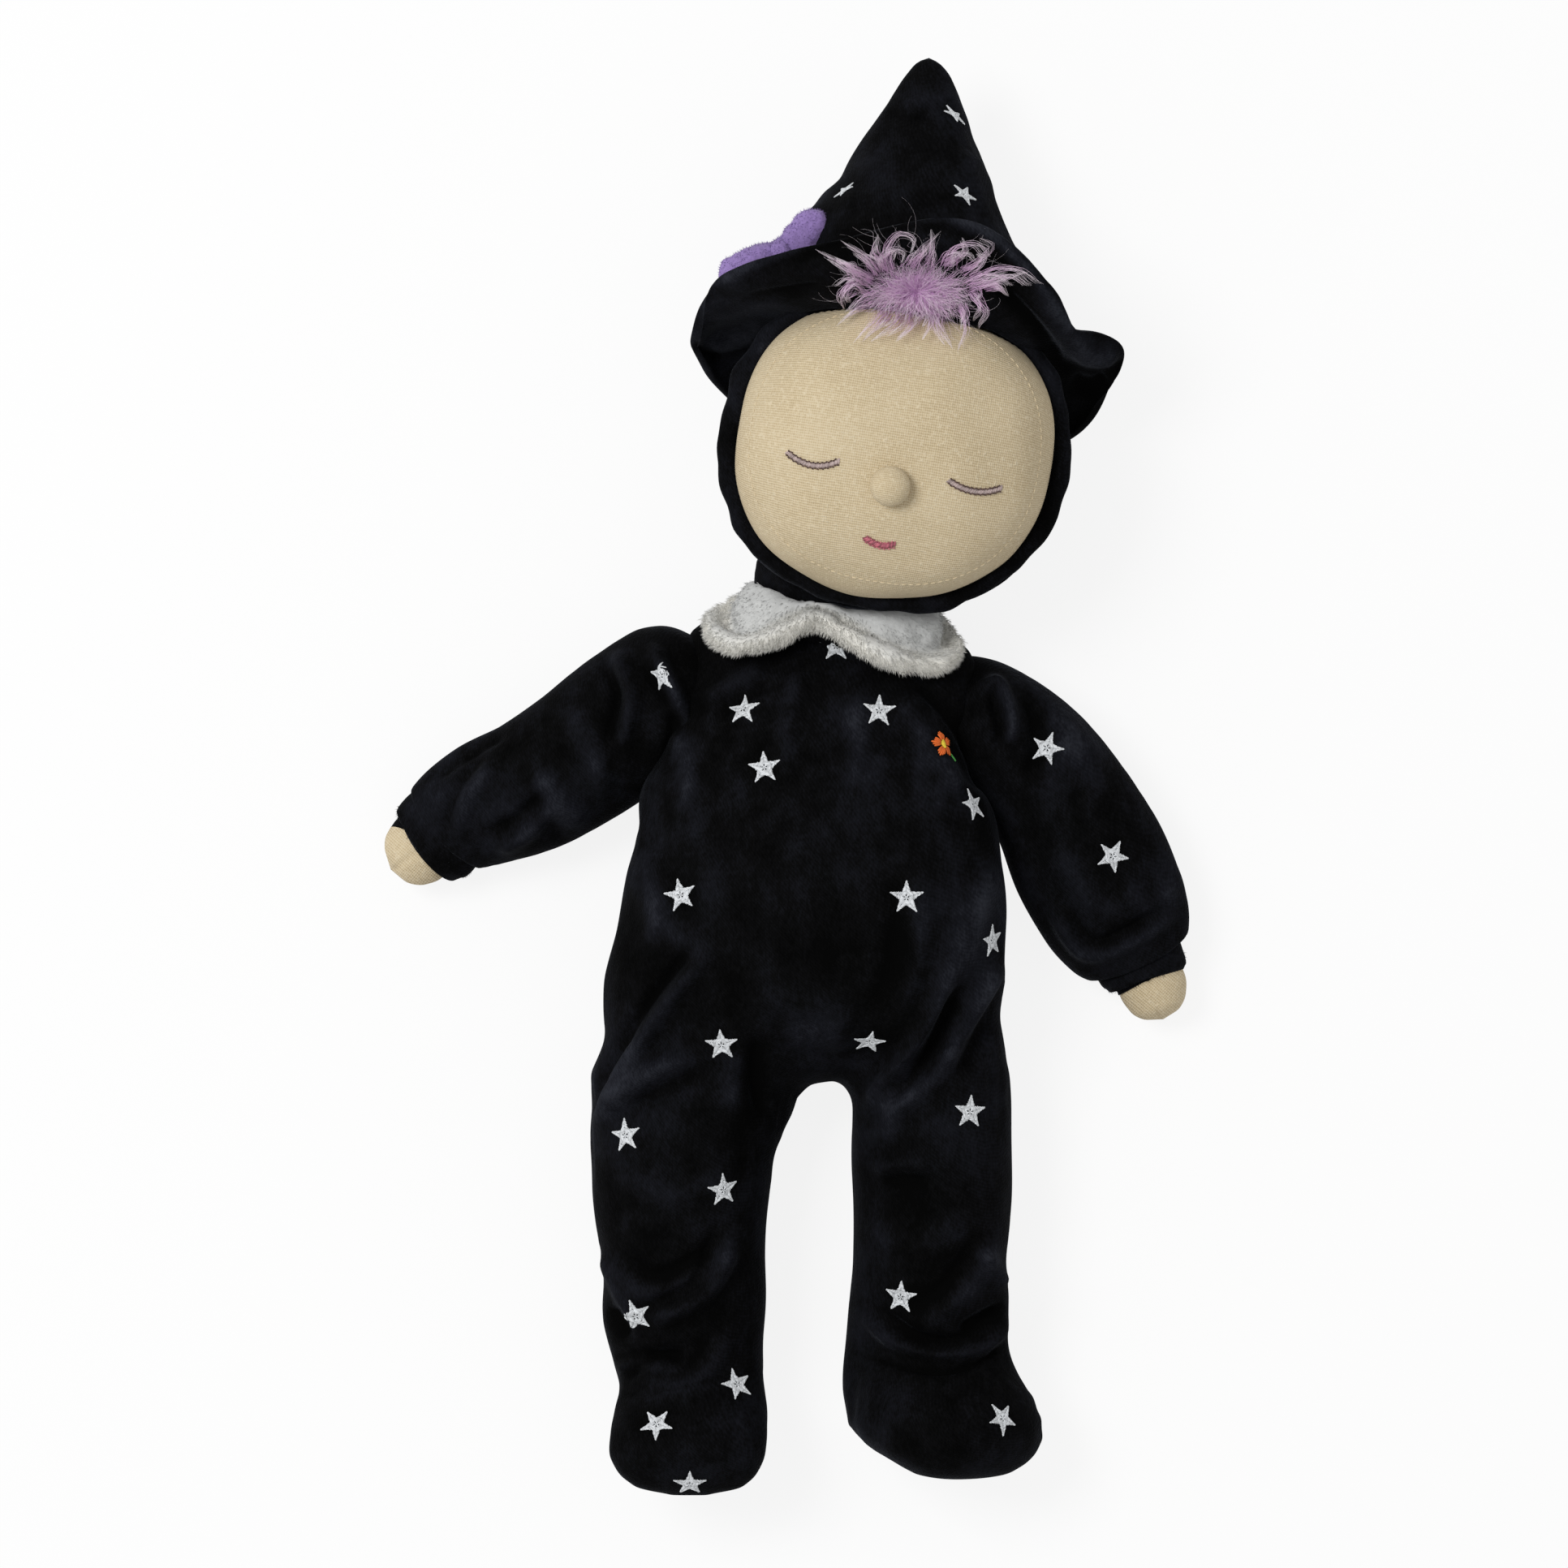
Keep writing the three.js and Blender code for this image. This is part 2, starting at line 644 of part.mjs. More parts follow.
// The brim: a double cloth from the hat's edge to a fluted edge, turned up in front and drooping behind.
function brimForm(inset) {
  const root = (angle) => hatEdge(angle, hatWall + clearance + brim.thick / 2);
  const corners = brim.flutes.map(({ turn, out, rise }) => {
    const angle = radians(turn);
    const reach = new THREE.Vector3(Math.sin(angle) * out, rise, Math.cos(angle) * out);
    return root(angle).add(reach);
  });
  const edge = new THREE.CatmullRomCurve3(corners, true);
  const rows = circle(brim.steps, (cosine, sine, angle) => {
    const share = angle / (2 * Math.PI);
    const place = share * corners.length;
    const before = Math.floor(place);
    const turn = brim.flutes[before].turn;
    const nextTurn = before + 1 < corners.length ? brim.flutes[before + 1].turn : 360;
    const start = root(radians(THREE.MathUtils.lerp(turn, nextTurn, place - before)));
    const end = edge.getPoint(share);
    const knee = new THREE.Vector3(end.x, THREE.MathUtils.lerp(start.y, end.y, brim.knee), end.z);
    return new THREE.QuadraticBezierCurve3(start, knee, end).getPoints(brim.across);
  });
  const half = brim.thick / 2 - inset;
  const sections = rows.map((row, i) => {
    const ahead = rows[(i + 1) % rows.length];
    const behind = rows[(i + rows.length - 1) % rows.length];
    const normals = row.map((_, j) => {
      const outer = row[Math.min(j + 1, brim.across)];
      const across = new THREE.Vector3().subVectors(outer, row[Math.max(j - 1, 0)]);
      return new THREE.Vector3().subVectors(ahead[j], behind[j]).cross(across).normalize();
    });
    const face = (height) => row.map((point, j) => point.clone().addScaledVector(normals[j], height));
    const lip = new THREE.Vector3().subVectors(row.at(-1), row.at(-2)).setLength(half).add(row.at(-1));
    const heel = new THREE.Vector3().subVectors(row[0], row[1]).setLength(half).add(row[0]);
    return [heel, ...face(half), lip, ...face(-half).reverse()];
  });
  return solidOf(skinned(sections, true));
}

const brimRoom = brimForm(-clearance);
const crownRoom = crownForm(-clearance);
mesh("hat_brim", cut(brimForm(0), ...hoodRoom, crownRoom, table), cloth.velour, headGroup);

// Tuft of hair in front of the brim

const tuftShape = new THREE.SphereGeometry(1, ballFacets, Math.round(ballFacets * ballRings));
tuftShape.scale(tuft.wide, tuft.high, tuft.deep);
const tuftAt = new THREE.Vector3(0, tuft.up, tuft.forward).add(headMiddle);
const tuftForm = solidOf(tuftShape.translate(...tuftAt));
mesh("hair_tuft", cut(tuftForm, ...hoodRoom, brimRoom, crownRoom), cloth.hair, headGroup);

// Bow on the side of the hat

const bowAt = hatEdge(radians(bow.turn), bow.out).add(new THREE.Vector3(0, bow.up, 0));
const knotRoom = ball(bow.knot + clearance, bowAt);
mesh("bow_knot", cut(ball(bow.knot, bowAt), crownRoom, brimRoom), cloth.bowPlush, headGroup);
for (const [name, side] of sides) {
  const profile = [new THREE.Vector2(0, 0)];
  for (let step = 0; step < bow.rings; step++) {
    const share = step / bow.rings;
    const swell = Math.sin(Math.PI * THREE.MathUtils.lerp(bow.pinch, 1, share)) ** bow.fullness;
    profile.push(new THREE.Vector2(bow.girth * swell, bow.loop * share));
  }
  profile.push(new THREE.Vector2(0, bow.loop));
  const loop = new THREE.LatheGeometry(profile, ballFacets).scale(1, 1, bow.flat);
  loop.rotateZ(radians(bow.slant - side * 90)).translate(...bowAt);
  const cutters = [knotRoom, crownRoom, brimRoom];
  mesh("bow_loop_" + name, cut(solidOf(loop), ...cutters), cloth.bowPlush, headGroup);
}

// The part's origin is under the middle of its box.
const box = new THREE.Box3().setFromObject(doll, true);
const middle = box.getCenter(new THREE.Vector3());
doll.position.set(-middle.x, -middle.y, -box.min.z);
const part = new THREE.Group();
part.add(doll);

export default part;
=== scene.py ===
import json
import math

import bpy
import numpy as np
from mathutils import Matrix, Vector
from mathutils.bvhtree import BVHTree

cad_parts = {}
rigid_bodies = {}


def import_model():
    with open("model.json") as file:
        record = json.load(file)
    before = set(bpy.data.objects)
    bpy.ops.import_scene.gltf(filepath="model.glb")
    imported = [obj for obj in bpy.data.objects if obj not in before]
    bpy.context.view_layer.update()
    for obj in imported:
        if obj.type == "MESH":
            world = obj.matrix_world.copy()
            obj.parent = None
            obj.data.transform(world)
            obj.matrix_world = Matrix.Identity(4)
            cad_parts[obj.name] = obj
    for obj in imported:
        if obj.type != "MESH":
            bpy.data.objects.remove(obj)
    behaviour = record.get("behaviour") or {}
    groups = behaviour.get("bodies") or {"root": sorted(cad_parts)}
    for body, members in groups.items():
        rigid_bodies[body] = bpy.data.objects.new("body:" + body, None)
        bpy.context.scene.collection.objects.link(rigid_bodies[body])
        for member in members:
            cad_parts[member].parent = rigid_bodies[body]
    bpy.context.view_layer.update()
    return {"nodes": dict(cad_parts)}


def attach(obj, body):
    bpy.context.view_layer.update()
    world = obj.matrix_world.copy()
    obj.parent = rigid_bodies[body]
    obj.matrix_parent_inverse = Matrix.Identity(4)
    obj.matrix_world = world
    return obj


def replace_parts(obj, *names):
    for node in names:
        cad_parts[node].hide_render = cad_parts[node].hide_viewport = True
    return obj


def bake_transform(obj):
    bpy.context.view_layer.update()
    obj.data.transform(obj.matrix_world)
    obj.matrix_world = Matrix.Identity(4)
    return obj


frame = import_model()
mm = 0.001
ground = 0.2  # mm that the lowest cloth lies above the level zero, and the floor below it
print("frame loaded:", len(frame["nodes"]), "nodes")

# camera
sight = {
    "pixel": 0.245 * mm,  # size of one picture pixel at the level below
    "origin": (968, 953),  # the pixel over the frame's origin
    "picture": 1932,
    "level": 45 * mm,
    "away": 2.998,
    "sensor": 36.0,
}


def fromPhoto(px, py, z=45.0):
    # the point at height z, in mm, that the camera sees at a pixel
    eye = np.array(camera.location)
    x = (px - sight["origin"][0]) * sight["pixel"]
    y = (sight["origin"][1] - py) * sight["pixel"]
    share = (eye[2] - z * mm) / sight["away"]
    return np.array([eye[0] + (x - eye[0]) * share, eye[1] + (y - eye[1]) * share, z * mm])


half = sight["picture"] / 2
bpy.ops.object.camera_add(
    location=(
        (half - sight["origin"][0]) * sight["pixel"],
        (sight["origin"][1] - half) * sight["pixel"],
        sight["level"] + sight["away"],
    ),
    rotation=(0, 0, 0),
)
camera = bpy.context.object
camera.name = "camera"
camera.data.sensor_width = sight["sensor"]
camera.data.lens = sight["sensor"] * sight["away"] / (sight["picture"] * sight["pixel"])
camera.data.clip_end = 20
scene = bpy.context.scene
scene.camera = camera
scene.view_settings.view_transform = "Standard"


# shader maths
class Wire:
    # one socket, so that sums of sockets read as plain sums
    def __init__(self, tree, socket):
        self.tree, self.socket = tree, socket

    def step(self, operation, first, second):
        made = self.tree.nodes.new("ShaderNodeMath")
        made.operation = operation
        for slot, value in zip(made.inputs, (first, second)):
            plug(self.tree, slot, value)
        return Wire(self.tree, made.outputs[0])

    def __add__(self, other):
        return self.step("ADD", self, other)

    def __radd__(self, other):
        return self.step("ADD", other, self)

    def __sub__(self, other):
        return self.step("SUBTRACT", self, other)

    def __rsub__(self, other):
        return self.step("SUBTRACT", other, self)

    def __mul__(self, other):
        return self.step("MULTIPLY", self, other)

    def __rmul__(self, other):
        return self.step("MULTIPLY", other, self)

    def __pow__(self, other):
        return self.step("POWER", self, other)


def plug(tree, slot, value):
    if isinstance(value, Wire):
        tree.links.new(value.socket, slot)
    else:
        slot.default_value = value


class Finish:
    # a material, built node by node
    def __init__(self, name):
        self.material = bpy.data.materials.new(name)
        self.material.use_nodes = True
        self.tree = self.material.node_tree
        self.tree.nodes.clear()

    def node(self, kind, settings=None, inputs=None, output=0):
        made = self.tree.nodes.new(kind)
        for key, value in (settings or {}).items():
            if key == "stops":
                ramp = made.color_ramp.elements
                while len(ramp) < len(value):
                    ramp.new(0.5)
                for stop, (place, colour) in zip(ramp, value):
                    stop.position, stop.color = place, (*colour, 1)
            else:
                setattr(made, key, value)
        for key, value in (inputs or {}).items():
            plug(self.tree, made.inputs[key], value)
        return Wire(self.tree, made.outputs[output])

    def coords(self, turn=0.0, scale=(1, 1, 1), label=None):
        if label:
            place = self.node("ShaderNodeAttribute", {"attribute_name": label}, output="Vector")
        else:
            place = self.node("ShaderNodeTexCoord", output="Object")
        inputs = {"Vector": place, "Rotation": (0, 0, turn), "Scale": scale}
        return self.node("ShaderNodeMapping", None, inputs)

    def noise(self, place, scale, detail=3.0, rough=0.55):
        inputs = {"Vector": place, "Scale": scale, "Detail": detail, "Roughness": rough}
        return self.node("ShaderNodeTexNoise", None, inputs)

    def wave(self, place, scale, way, distortion=0.0):
        return self.node(
            "ShaderNodeTexWave",
            {"bands_direction": way},
            {"Vector": place, "Scale": scale, "Distortion": distortion, "Detail": 2.0, "Detail Scale": 1.5},
        )

    def ramp(self, value, stops):
        return self.node("ShaderNodeValToRGB", {"stops": stops}, {"Fac": value})

    def tint(self, factor, first, second, way="MIX"):
        settings = {"data_type": "RGBA", "blend_type": way, "clamp_factor": True}
        return self.node("ShaderNodeMix", settings, {0: factor, 6: first, 7: second}, 2)

    def bump(self, height, strength, distance):
        inputs = {"Height": height, "Strength": strength, "Distance": distance}
        return self.node("ShaderNodeBump", None, inputs)

    def surface(self, **inputs):
        skin = self.node("ShaderNodeBsdfPrincipled", None, inputs)
        self.done(skin)

    def done(self, shader):
        out = self.tree.nodes.new("ShaderNodeOutputMaterial")
        self.tree.links.new(shader.socket, out.inputs["Surface"])


def fromBytes(red, green, blue):
    # a picture's colour as the shader's linear colour
    parts = (red / 255, green / 255, blue / 255)
    return tuple(((c + 0.055) / 1.055) ** 2.4 if c > 0.04045 else c / 12.92 for c in parts)


def solid(colour):
    return (*colour, 1)


velourLook = {
    "deep": (5, 5, 5),
    "mid": (11, 11, 12),
    "lit": (23, 24, 29),
    "bright": (48, 50, 57),
    "sheen": 0.05,
}


def velourFinish():
    # random patches where the nap lies one way or the other, with painted highlights on the ridges of folds,
    # painted shade in their creases, and patches of painted light and shade, all brought in by the nap
    # attribute
    made = Finish("velour")
    # the nap attribute holds painted light and shade: lighter fold ridges and strokes, darker creases and
    # strokes
    paintedLight = made.node("ShaderNodeAttribute", {"attribute_name": "nap"}, output="Fac")
    patches = made.noise(made.coords(scale=(1, 0.7, 1)), 26, 4, 0.62)
    mottles = made.noise(made.coords(scale=(1, 0.8, 1)), 105, 5, 0.7)
    pile = made.noise(made.coords(scale=(1, 0.4, 1)), 1300, 3, 0.65)
    rows = made.wave(made.coords(), 520, "DIAGONAL", 3.0)
    tone = patches * 0.8 + mottles * 0.5 + paintedLight * 0.55 + pile * 0.36 + rows * 0.05 - 0.34
    stops = zip((0.36, 0.5, 0.7, 1.0), ("deep", "mid", "lit", "bright"))
    base = made.ramp(tone, [(place, fromBytes(*velourLook[k])) for place, k in stops])
    made.surface(**{
        "Base Color": base, "Roughness": 0.9, "Specular IOR Level": 0.02,
        "Normal": made.bump(pile + rows * 0.2, 0.5, 0.0006),
        "Sheen Weight": velourLook["sheen"], "Sheen Roughness": 0.26, "Sheen Tint": (0.68, 0.74, 0.9, 1),
    })
    return made.material


cottonLook = {"warm": (205, 187, 153), "pale": (216, 201, 171), "shade": (176, 157, 123), "pitch": 0.75}


def cottonFinish(name, turn, label=None):
    made = Finish(name)
    place = made.coords(turn)
    band = 0.314 / (cottonLook["pitch"] * mm)  # a wave's scale for bands this far apart
    ribs = made.wave(made.coords(turn, (1, 1, 0.1), label), band, "Y", 1.6)
    warp = made.wave(made.coords(turn, (1, 1, 0.1), label), band * 1.2, "X", 2.4)
    slubs = made.noise(made.coords(turn, (0.22, 1, 1)), 520, 3, 0.6)
    pills = made.noise(place, 900, 2, 0.5) ** 6.0
    soft = made.noise(place, 45, 3, 0.5)
    weave = ribs * 0.46 + warp * 0.28 + slubs * 0.26
    warm, pale, shade = (fromBytes(*cottonLook[k]) for k in ("warm", "pale", "shade"))
    base = made.ramp(weave * 0.62 + soft * 0.3 + pills * 2.8, [(0.2, shade), (0.47, warm), (0.74, pale)])
    made.surface(**{
        "Base Color": base, "Roughness": 0.95, "Normal": made.bump(weave + pills * 3.0, 0.6, 0.0004),
        "Specular IOR Level": 0.12, "Sheen Weight": 0.06, "Sheen Roughness": 0.6,
    })
    return made.material


def plushFinish(name, cool, warm, grain, deep=0.8):
    # pile that turns from the cool colour to the warm one where the attribute says so
    made = Finish(name)
    place = made.coords()
    rolled = made.node("ShaderNodeAttribute", {"attribute_name": "rolled"}, output="Fac")
    tufts = made.noise(place, grain, 4, 0.65)
    soft = made.noise(place, 70, 3, 0.5)
    tone = made.tint(rolled, solid(fromBytes(*cool)), solid(fromBytes(*warm)))
    shade = made.ramp(tufts * 0.5 + soft * 0.5, [(0.3, (deep,) * 3), (0.62, (1.06, 1.06, 1.06))])
    made.surface(**{
        "Base Color": made.tint(1.0, tone, shade, "MULTIPLY"), "Roughness": 0.95,
        "Normal": made.bump(tufts, 0.35, 0.0008), "Specular IOR Level": 0.1,
        "Sheen Weight": 0.15, "Sheen Roughness": 0.5,
    })
    return made.material


def threadFinish(name, colour, dark=0.72):
    # sewing thread, with a shade of its own for each stitch
    made = Finish(name)
    shade = made.node("ShaderNodeAttribute", {"attribute_name": "shade"}, output="Fac")
    twist = made.noise(made.coords(), 2600, 2, 0.5)
    base = fromBytes(*colour)
    low = tuple(c * dark for c in base)
    made.surface(**{
        "Base Color": made.ramp(shade * 0.75 + twist * 0.25, [(0.2, low), (0.75, base)]),
        "Roughness": 0.55, "Specular IOR Level": 0.35,
        "Normal": made.bump(twist, 0.3, 0.0002),
    })
    return made.material


hairLook = {"root": (216, 163, 218), "mid": (232, 197, 229), "tip": (250, 240, 247)}


def hairFinish():
    made = Finish("hair")
    along = made.node("ShaderNodeAttribute", {"attribute_name": "along"}, output="Fac")
    shade = made.node("ShaderNodeAttribute", {"attribute_name": "shade"}, output="Fac")
    root, mid, tip = (fromBytes(*hairLook[k]) for k in ("root", "mid", "tip"))
    tone = made.ramp(along * 0.75 + shade * 0.42, [(0.0, root), (0.45, mid), (0.95, tip)])
    made.surface(**{"Base Color": tone, "Roughness": 0.5 + shade * 0.2, "Specular IOR Level": 0.4})
    return made.material


velour = velourFinish()
cotton = cottonFinish("cotton_head", math.radians(9.4), "flat")
cottonHand = cottonFinish("cotton_hand", math.radians(40))
plush = plushFinish("plush", (200, 201, 200), (231, 229, 222), 600)
bowPlush = plushFinish("bow_plush", (152, 128, 187), (152, 128, 187), 800, 0.62)
hairFibre = hairFinish()
starThread = threadFinish("star_thread", (226, 229, 232), 0.6)
lidThread = threadFinish("lid_thread", (198, 178, 174), 0.6)
lashThread = threadFinish("lash_thread", (98, 72, 66), 0.6)
lipThread = threadFinish("lip_thread", (206, 118, 132), 0.42)
petalThread = threadFinish("petal_thread", (232, 110, 40))
heartThread = threadFinish("heart_thread", (238, 214, 70))
leafThread = threadFinish("leaf_thread", (84, 168, 80))
seamThread = threadFinish("seam_thread", (216, 199, 166), 0.9)
print("finishes made")


# helpers for soft forms
def unit(rows):
    rows = np.asarray(rows, float)
    return rows / np.maximum(np.linalg.norm(rows, axis=-1, keepdims=True), 1e-12)


def pickOnly(piece):
    bpy.ops.object.select_all(action="DESELECT")
    piece.select_set(True)
    bpy.context.view_layer.objects.active = piece


def readPoints(piece):
    flat = np.empty(len(piece.data.vertices) * 3)
    piece.data.vertices.foreach_get("co", flat)
    return flat.reshape(-1, 3)


def readNormals(piece):
    flat = np.empty(len(piece.data.vertices) * 3)
    piece.data.vertex_normals.foreach_get("vector", flat)
    return flat.reshape(-1, 3)


def writePoints(piece, points):
    piece.data.vertices.foreach_set("co", np.ascontiguousarray(points).ravel())
    piece.data.update()


def useModifier(piece, kind, **settings):
    pickOnly(piece)
    made = piece.modifiers.new(kind.lower(), kind)
    for key, value in settings.items():
        setattr(made, key, value)
    bpy.ops.object.modifier_apply(modifier=made.name)


def paint(piece, material):
    piece.data.materials.clear()
    piece.data.materials.append(material)
    return piece


def steadySlope(values, at):
    # slopes that never swing past a key
    rise = np.diff(values, axis=0) / np.diff(at)[:, None]
    low, high = rise[:-1], rise[1:]
    same = low * high > 0
    inner = np.where(same, 2 * low * high / np.where(same, low + high, 1), 0)
    return np.vstack([rise[:1], inner, rise[-1:]])


def hermite(at, values, slope, want):
    # smooth values between stations whose slopes are known
    cell = np.clip(np.searchsorted(at, want, side="right") - 1, 0, len(at) - 2)
    span = (at[cell + 1] - at[cell])[:, None]
    t = (want - at[cell])[:, None] / span
    low, high = values[cell], values[cell + 1]
    mixed = low + (high - low) * t * t * (3 - 2 * t)
    return mixed + span * (t * (1 - t) ** 2 * slope[cell] - t * t * (1 - t) * slope[cell + 1])


def alongKeys(keys, count):
    # smooth stations between the keys
    keys = np.array(keys, float)
    at = np.concatenate(([0], np.cumsum(np.linalg.norm(np.diff(keys[:, :3], axis=0), axis=1))))
    slope = np.hstack([np.gradient(keys[:, :3], at, axis=0), steadySlope(keys[:, 3:], at)])
    return hermite(at, keys, slope, np.linspace(0, at[-1], count))


def smoothLine(places, count):
    # alongKeys for places without widths
    return alongKeys(np.hstack([places, np.zeros((len(places), 1))]), count)[:, :3]


def aroundKeys(keys, turns):
    # smooth values between keys that go once round, in degrees
    keys = np.array(keys, float)
    ring = np.vstack([keys[-2:] - [360, 0, 0], keys, keys[:2] + [360, 0, 0]])
    slope = np.gradient(ring[:, 1:], ring[:, 0], axis=0)
    return hermite(ring[:, 0], ring[:, 1:], slope, turns)


def closeForm(piece, sewn=False):
    # faces turned outward and smooth, with meeting edges sewn where asked
    pickOnly(piece)
    bpy.ops.object.mode_set(mode="EDIT")
    bpy.ops.mesh.select_all(action="SELECT")
    if sewn:
        bpy.ops.mesh.remove_doubles(threshold=1e-6)
    bpy.ops.mesh.normals_make_consistent(inside=False)
    bpy.ops.object.mode_set(mode="OBJECT")
    bpy.ops.object.shade_smooth()
    return piece


def meshForm(name, points, faces):
    mesh = bpy.data.meshes.new(name)
    mesh.from_pydata(points, [], faces)
    piece = bpy.data.objects.new(name, mesh)
    scene.collection.objects.link(piece)
    return piece


def gridForm(name, points):
    # a grid whose points, in mm, are laid out row by row; meeting edges are sewn
    rows, columns = points.shape[:2]
    bpy.ops.object.select_all(action="DESELECT")
    bpy.ops.mesh.primitive_grid_add(x_subdivisions=columns - 1, y_subdivisions=rows - 1, size=1)
    piece = bpy.context.object
    piece.name = piece.data.name = name
    writePoints(piece, points.reshape(-1, 3) * mm)
    return closeForm(piece, sewn=True)


def ovals(turn, power=2.0):
    # a soft square for powers over two
    c, s = np.cos(turn), np.sin(turn)
    return np.sign(c) * np.abs(c) ** (2 / power), np.sign(s) * np.abs(s) ** (2 / power)


def tubeForm(name, keys, rows, columns, across=None, power=2.0):
    # ovals along keys of x, y, z, half width and half depth, as the picture shows them
    line = alongKeys(keys, rows)
    eye = np.array(camera.location) / mm
    share = ((eye[2] - line[:, 2]) * mm / sight["away"])[:, None]
    line[:, :2] = eye[:2] + (line[:, :2] - eye[:2]) * share
    line[:, 3:4] *= share
    way = unit(np.gradient(line[:, :3], axis=0))
    side = np.cross([0, 0, 1], way) if across is None else np.tile(np.array(across, float), (rows, 1))
    side = unit(side - way * (side * way).sum(1, keepdims=True))
    up = np.cross(way, side)
    c, s = ovals(np.linspace(0, 2 * np.pi, columns + 1), power)
    wide, deep = np.maximum(line[:, 3], 0), np.maximum(line[:, 4], 0)
    points = (
        line[:, None, :3]
        + side[:, None] * (wide[:, None] * c)[..., None]
        + up[:, None] * (deep[:, None] * s)[..., None]
    )
    points[..., 2] = np.maximum(points[..., 2], ground)
    points[:, -1] = points[:, 0]
    return gridForm(name, points)


def joinForms(name, forms):
    bpy.ops.object.select_all(action="DESELECT")
    for form in forms:
        form.select_set(True)
    bpy.context.view_layer.objects.active = forms[0]
    bpy.ops.object.join()
    forms[0].name = forms[0].data.name = name
    return forms[0]


def ripple(points, pitch, seed):
    # smooth unevenness of a given pitch in mm, from waves that run all ways
    waves = 26
    draw = np.random.default_rng(seed)
    ways = unit(draw.normal(size=(waves, 3))) * (2 * np.pi / pitch * draw.uniform(0.6, 1.5, (waves, 1)))
    phase = draw.uniform(0, 2 * np.pi, waves)
    return np.sin((points / mm) @ ways.T + phase).sum(1) / math.sqrt(waves / 2)


def roughen(piece, *waves):
    # each wave has a height and a pitch in mm, and a seed
    points = readPoints(piece)
    rise = sum(height * mm * ripple(points, pitch, seed) for height, pitch, seed in waves)
    writePoints(piece, points + readNormals(piece) * rise[:, None])


def pixelLine(pixels, level, count=24):
    # a smooth line through pixels, seen at a level in mm
    line = np.array([fromPhoto(*pixel, level)[:2] for pixel in pixels])
    if len(line) > 2:
        return alongKeys(np.hstack([line, np.zeros((len(line), 2))]), count)[:, :2]
    at = np.concatenate(([0], np.cumsum(np.linalg.norm(np.diff(line, axis=0), axis=1))))
    want = np.linspace(0, at[-1], count)
    return np.stack([np.interp(want, at, line[:, k]) for k in (0, 1)], -1)


def lineDistance(points, line):
    # distance to a line of points, the share of its length at the nearest place, and the side
    best, share, hand = np.full(len(points), 1e9), np.zeros(len(points)), np.ones(len(points))
    steps = np.linalg.norm(np.diff(line, axis=0), axis=1)
    begin = np.concatenate(([0], np.cumsum(steps)))
    for a, b, size, start in zip(line[:-1], line[1:], steps, begin):
        t = np.clip(((points - a) @ (b - a)) / size**2, 0, 1)
        away = np.linalg.norm(points - a - t[:, None] * (b - a), axis=1)
        closer = away < best
        best[closer], share[closer] = away[closer], (start + t * size)[closer] / begin[-1]
        turned = (b - a)[0] * (points - a)[:, 1] - (b - a)[1] * (points - a)[:, 0]
        hand[closer] = np.where(turned[closer] > 0, -1, 1)
    return best, share, hand


def keep(piece, label, values, kind="FLOAT"):
    # values of its own for each point of a piece, for its material
    made = piece.data.attributes.new(label, kind, "POINT")
    made.data.foreach_set("value" if kind == "FLOAT" else "vector", np.array(values, np.float32).ravel())


def layFolds(piece, folds, strokes=(), level=40):
    # a fold is a line of pixels, its width and rise in mm, and the side of the crease beside it;
    # a stroke is a line of pixels, its width in mm, and how much painted light (above nought) or painted
    # shade (below) it lays in the cloth's colour
    points, normals = readPoints(piece), readNormals(piece)
    front = np.clip(normals[:, 2] * 2.5 + 0.2, 0, 1)
    # painted light and shade for the cloth's colour, kept below as the nap attribute
    nap = np.zeros(len(points))
    for pixels, width, tone in strokes:
        away, _, _ = lineDistance(points[:, :2], pixelLine(pixels, level))
        nap += tone * np.exp(-((away / mm / width) ** 2)) * front
    for pixels, width, rise, crease in folds:
        away, share, hand = lineDistance(points[:, :2], pixelLine(pixels, level))
        ends = np.clip(np.minimum(share, 1 - share) * 4 + 0.15, 0, 1)
        ends = ends * ends * (3 - 2 * ends)
        form = np.exp(-((away / mm / width) ** 2))
        if crease:
            form -= 0.7 * np.exp(-(((away * hand * crease / mm - 1.7 * width) / (0.8 * width)) ** 2))
        points = points + normals * (form * ends * front * rise * mm)[:, None]
        # painted highlight along a fold's ridge, painted shade in its crease
        nap += 0.16 * form * ends * front * np.clip(rise, -2, 2)
    points[:, 2] = np.maximum(points[:, 2], ground * mm)
    writePoints(piece, points)
    keep(piece, "nap", nap)


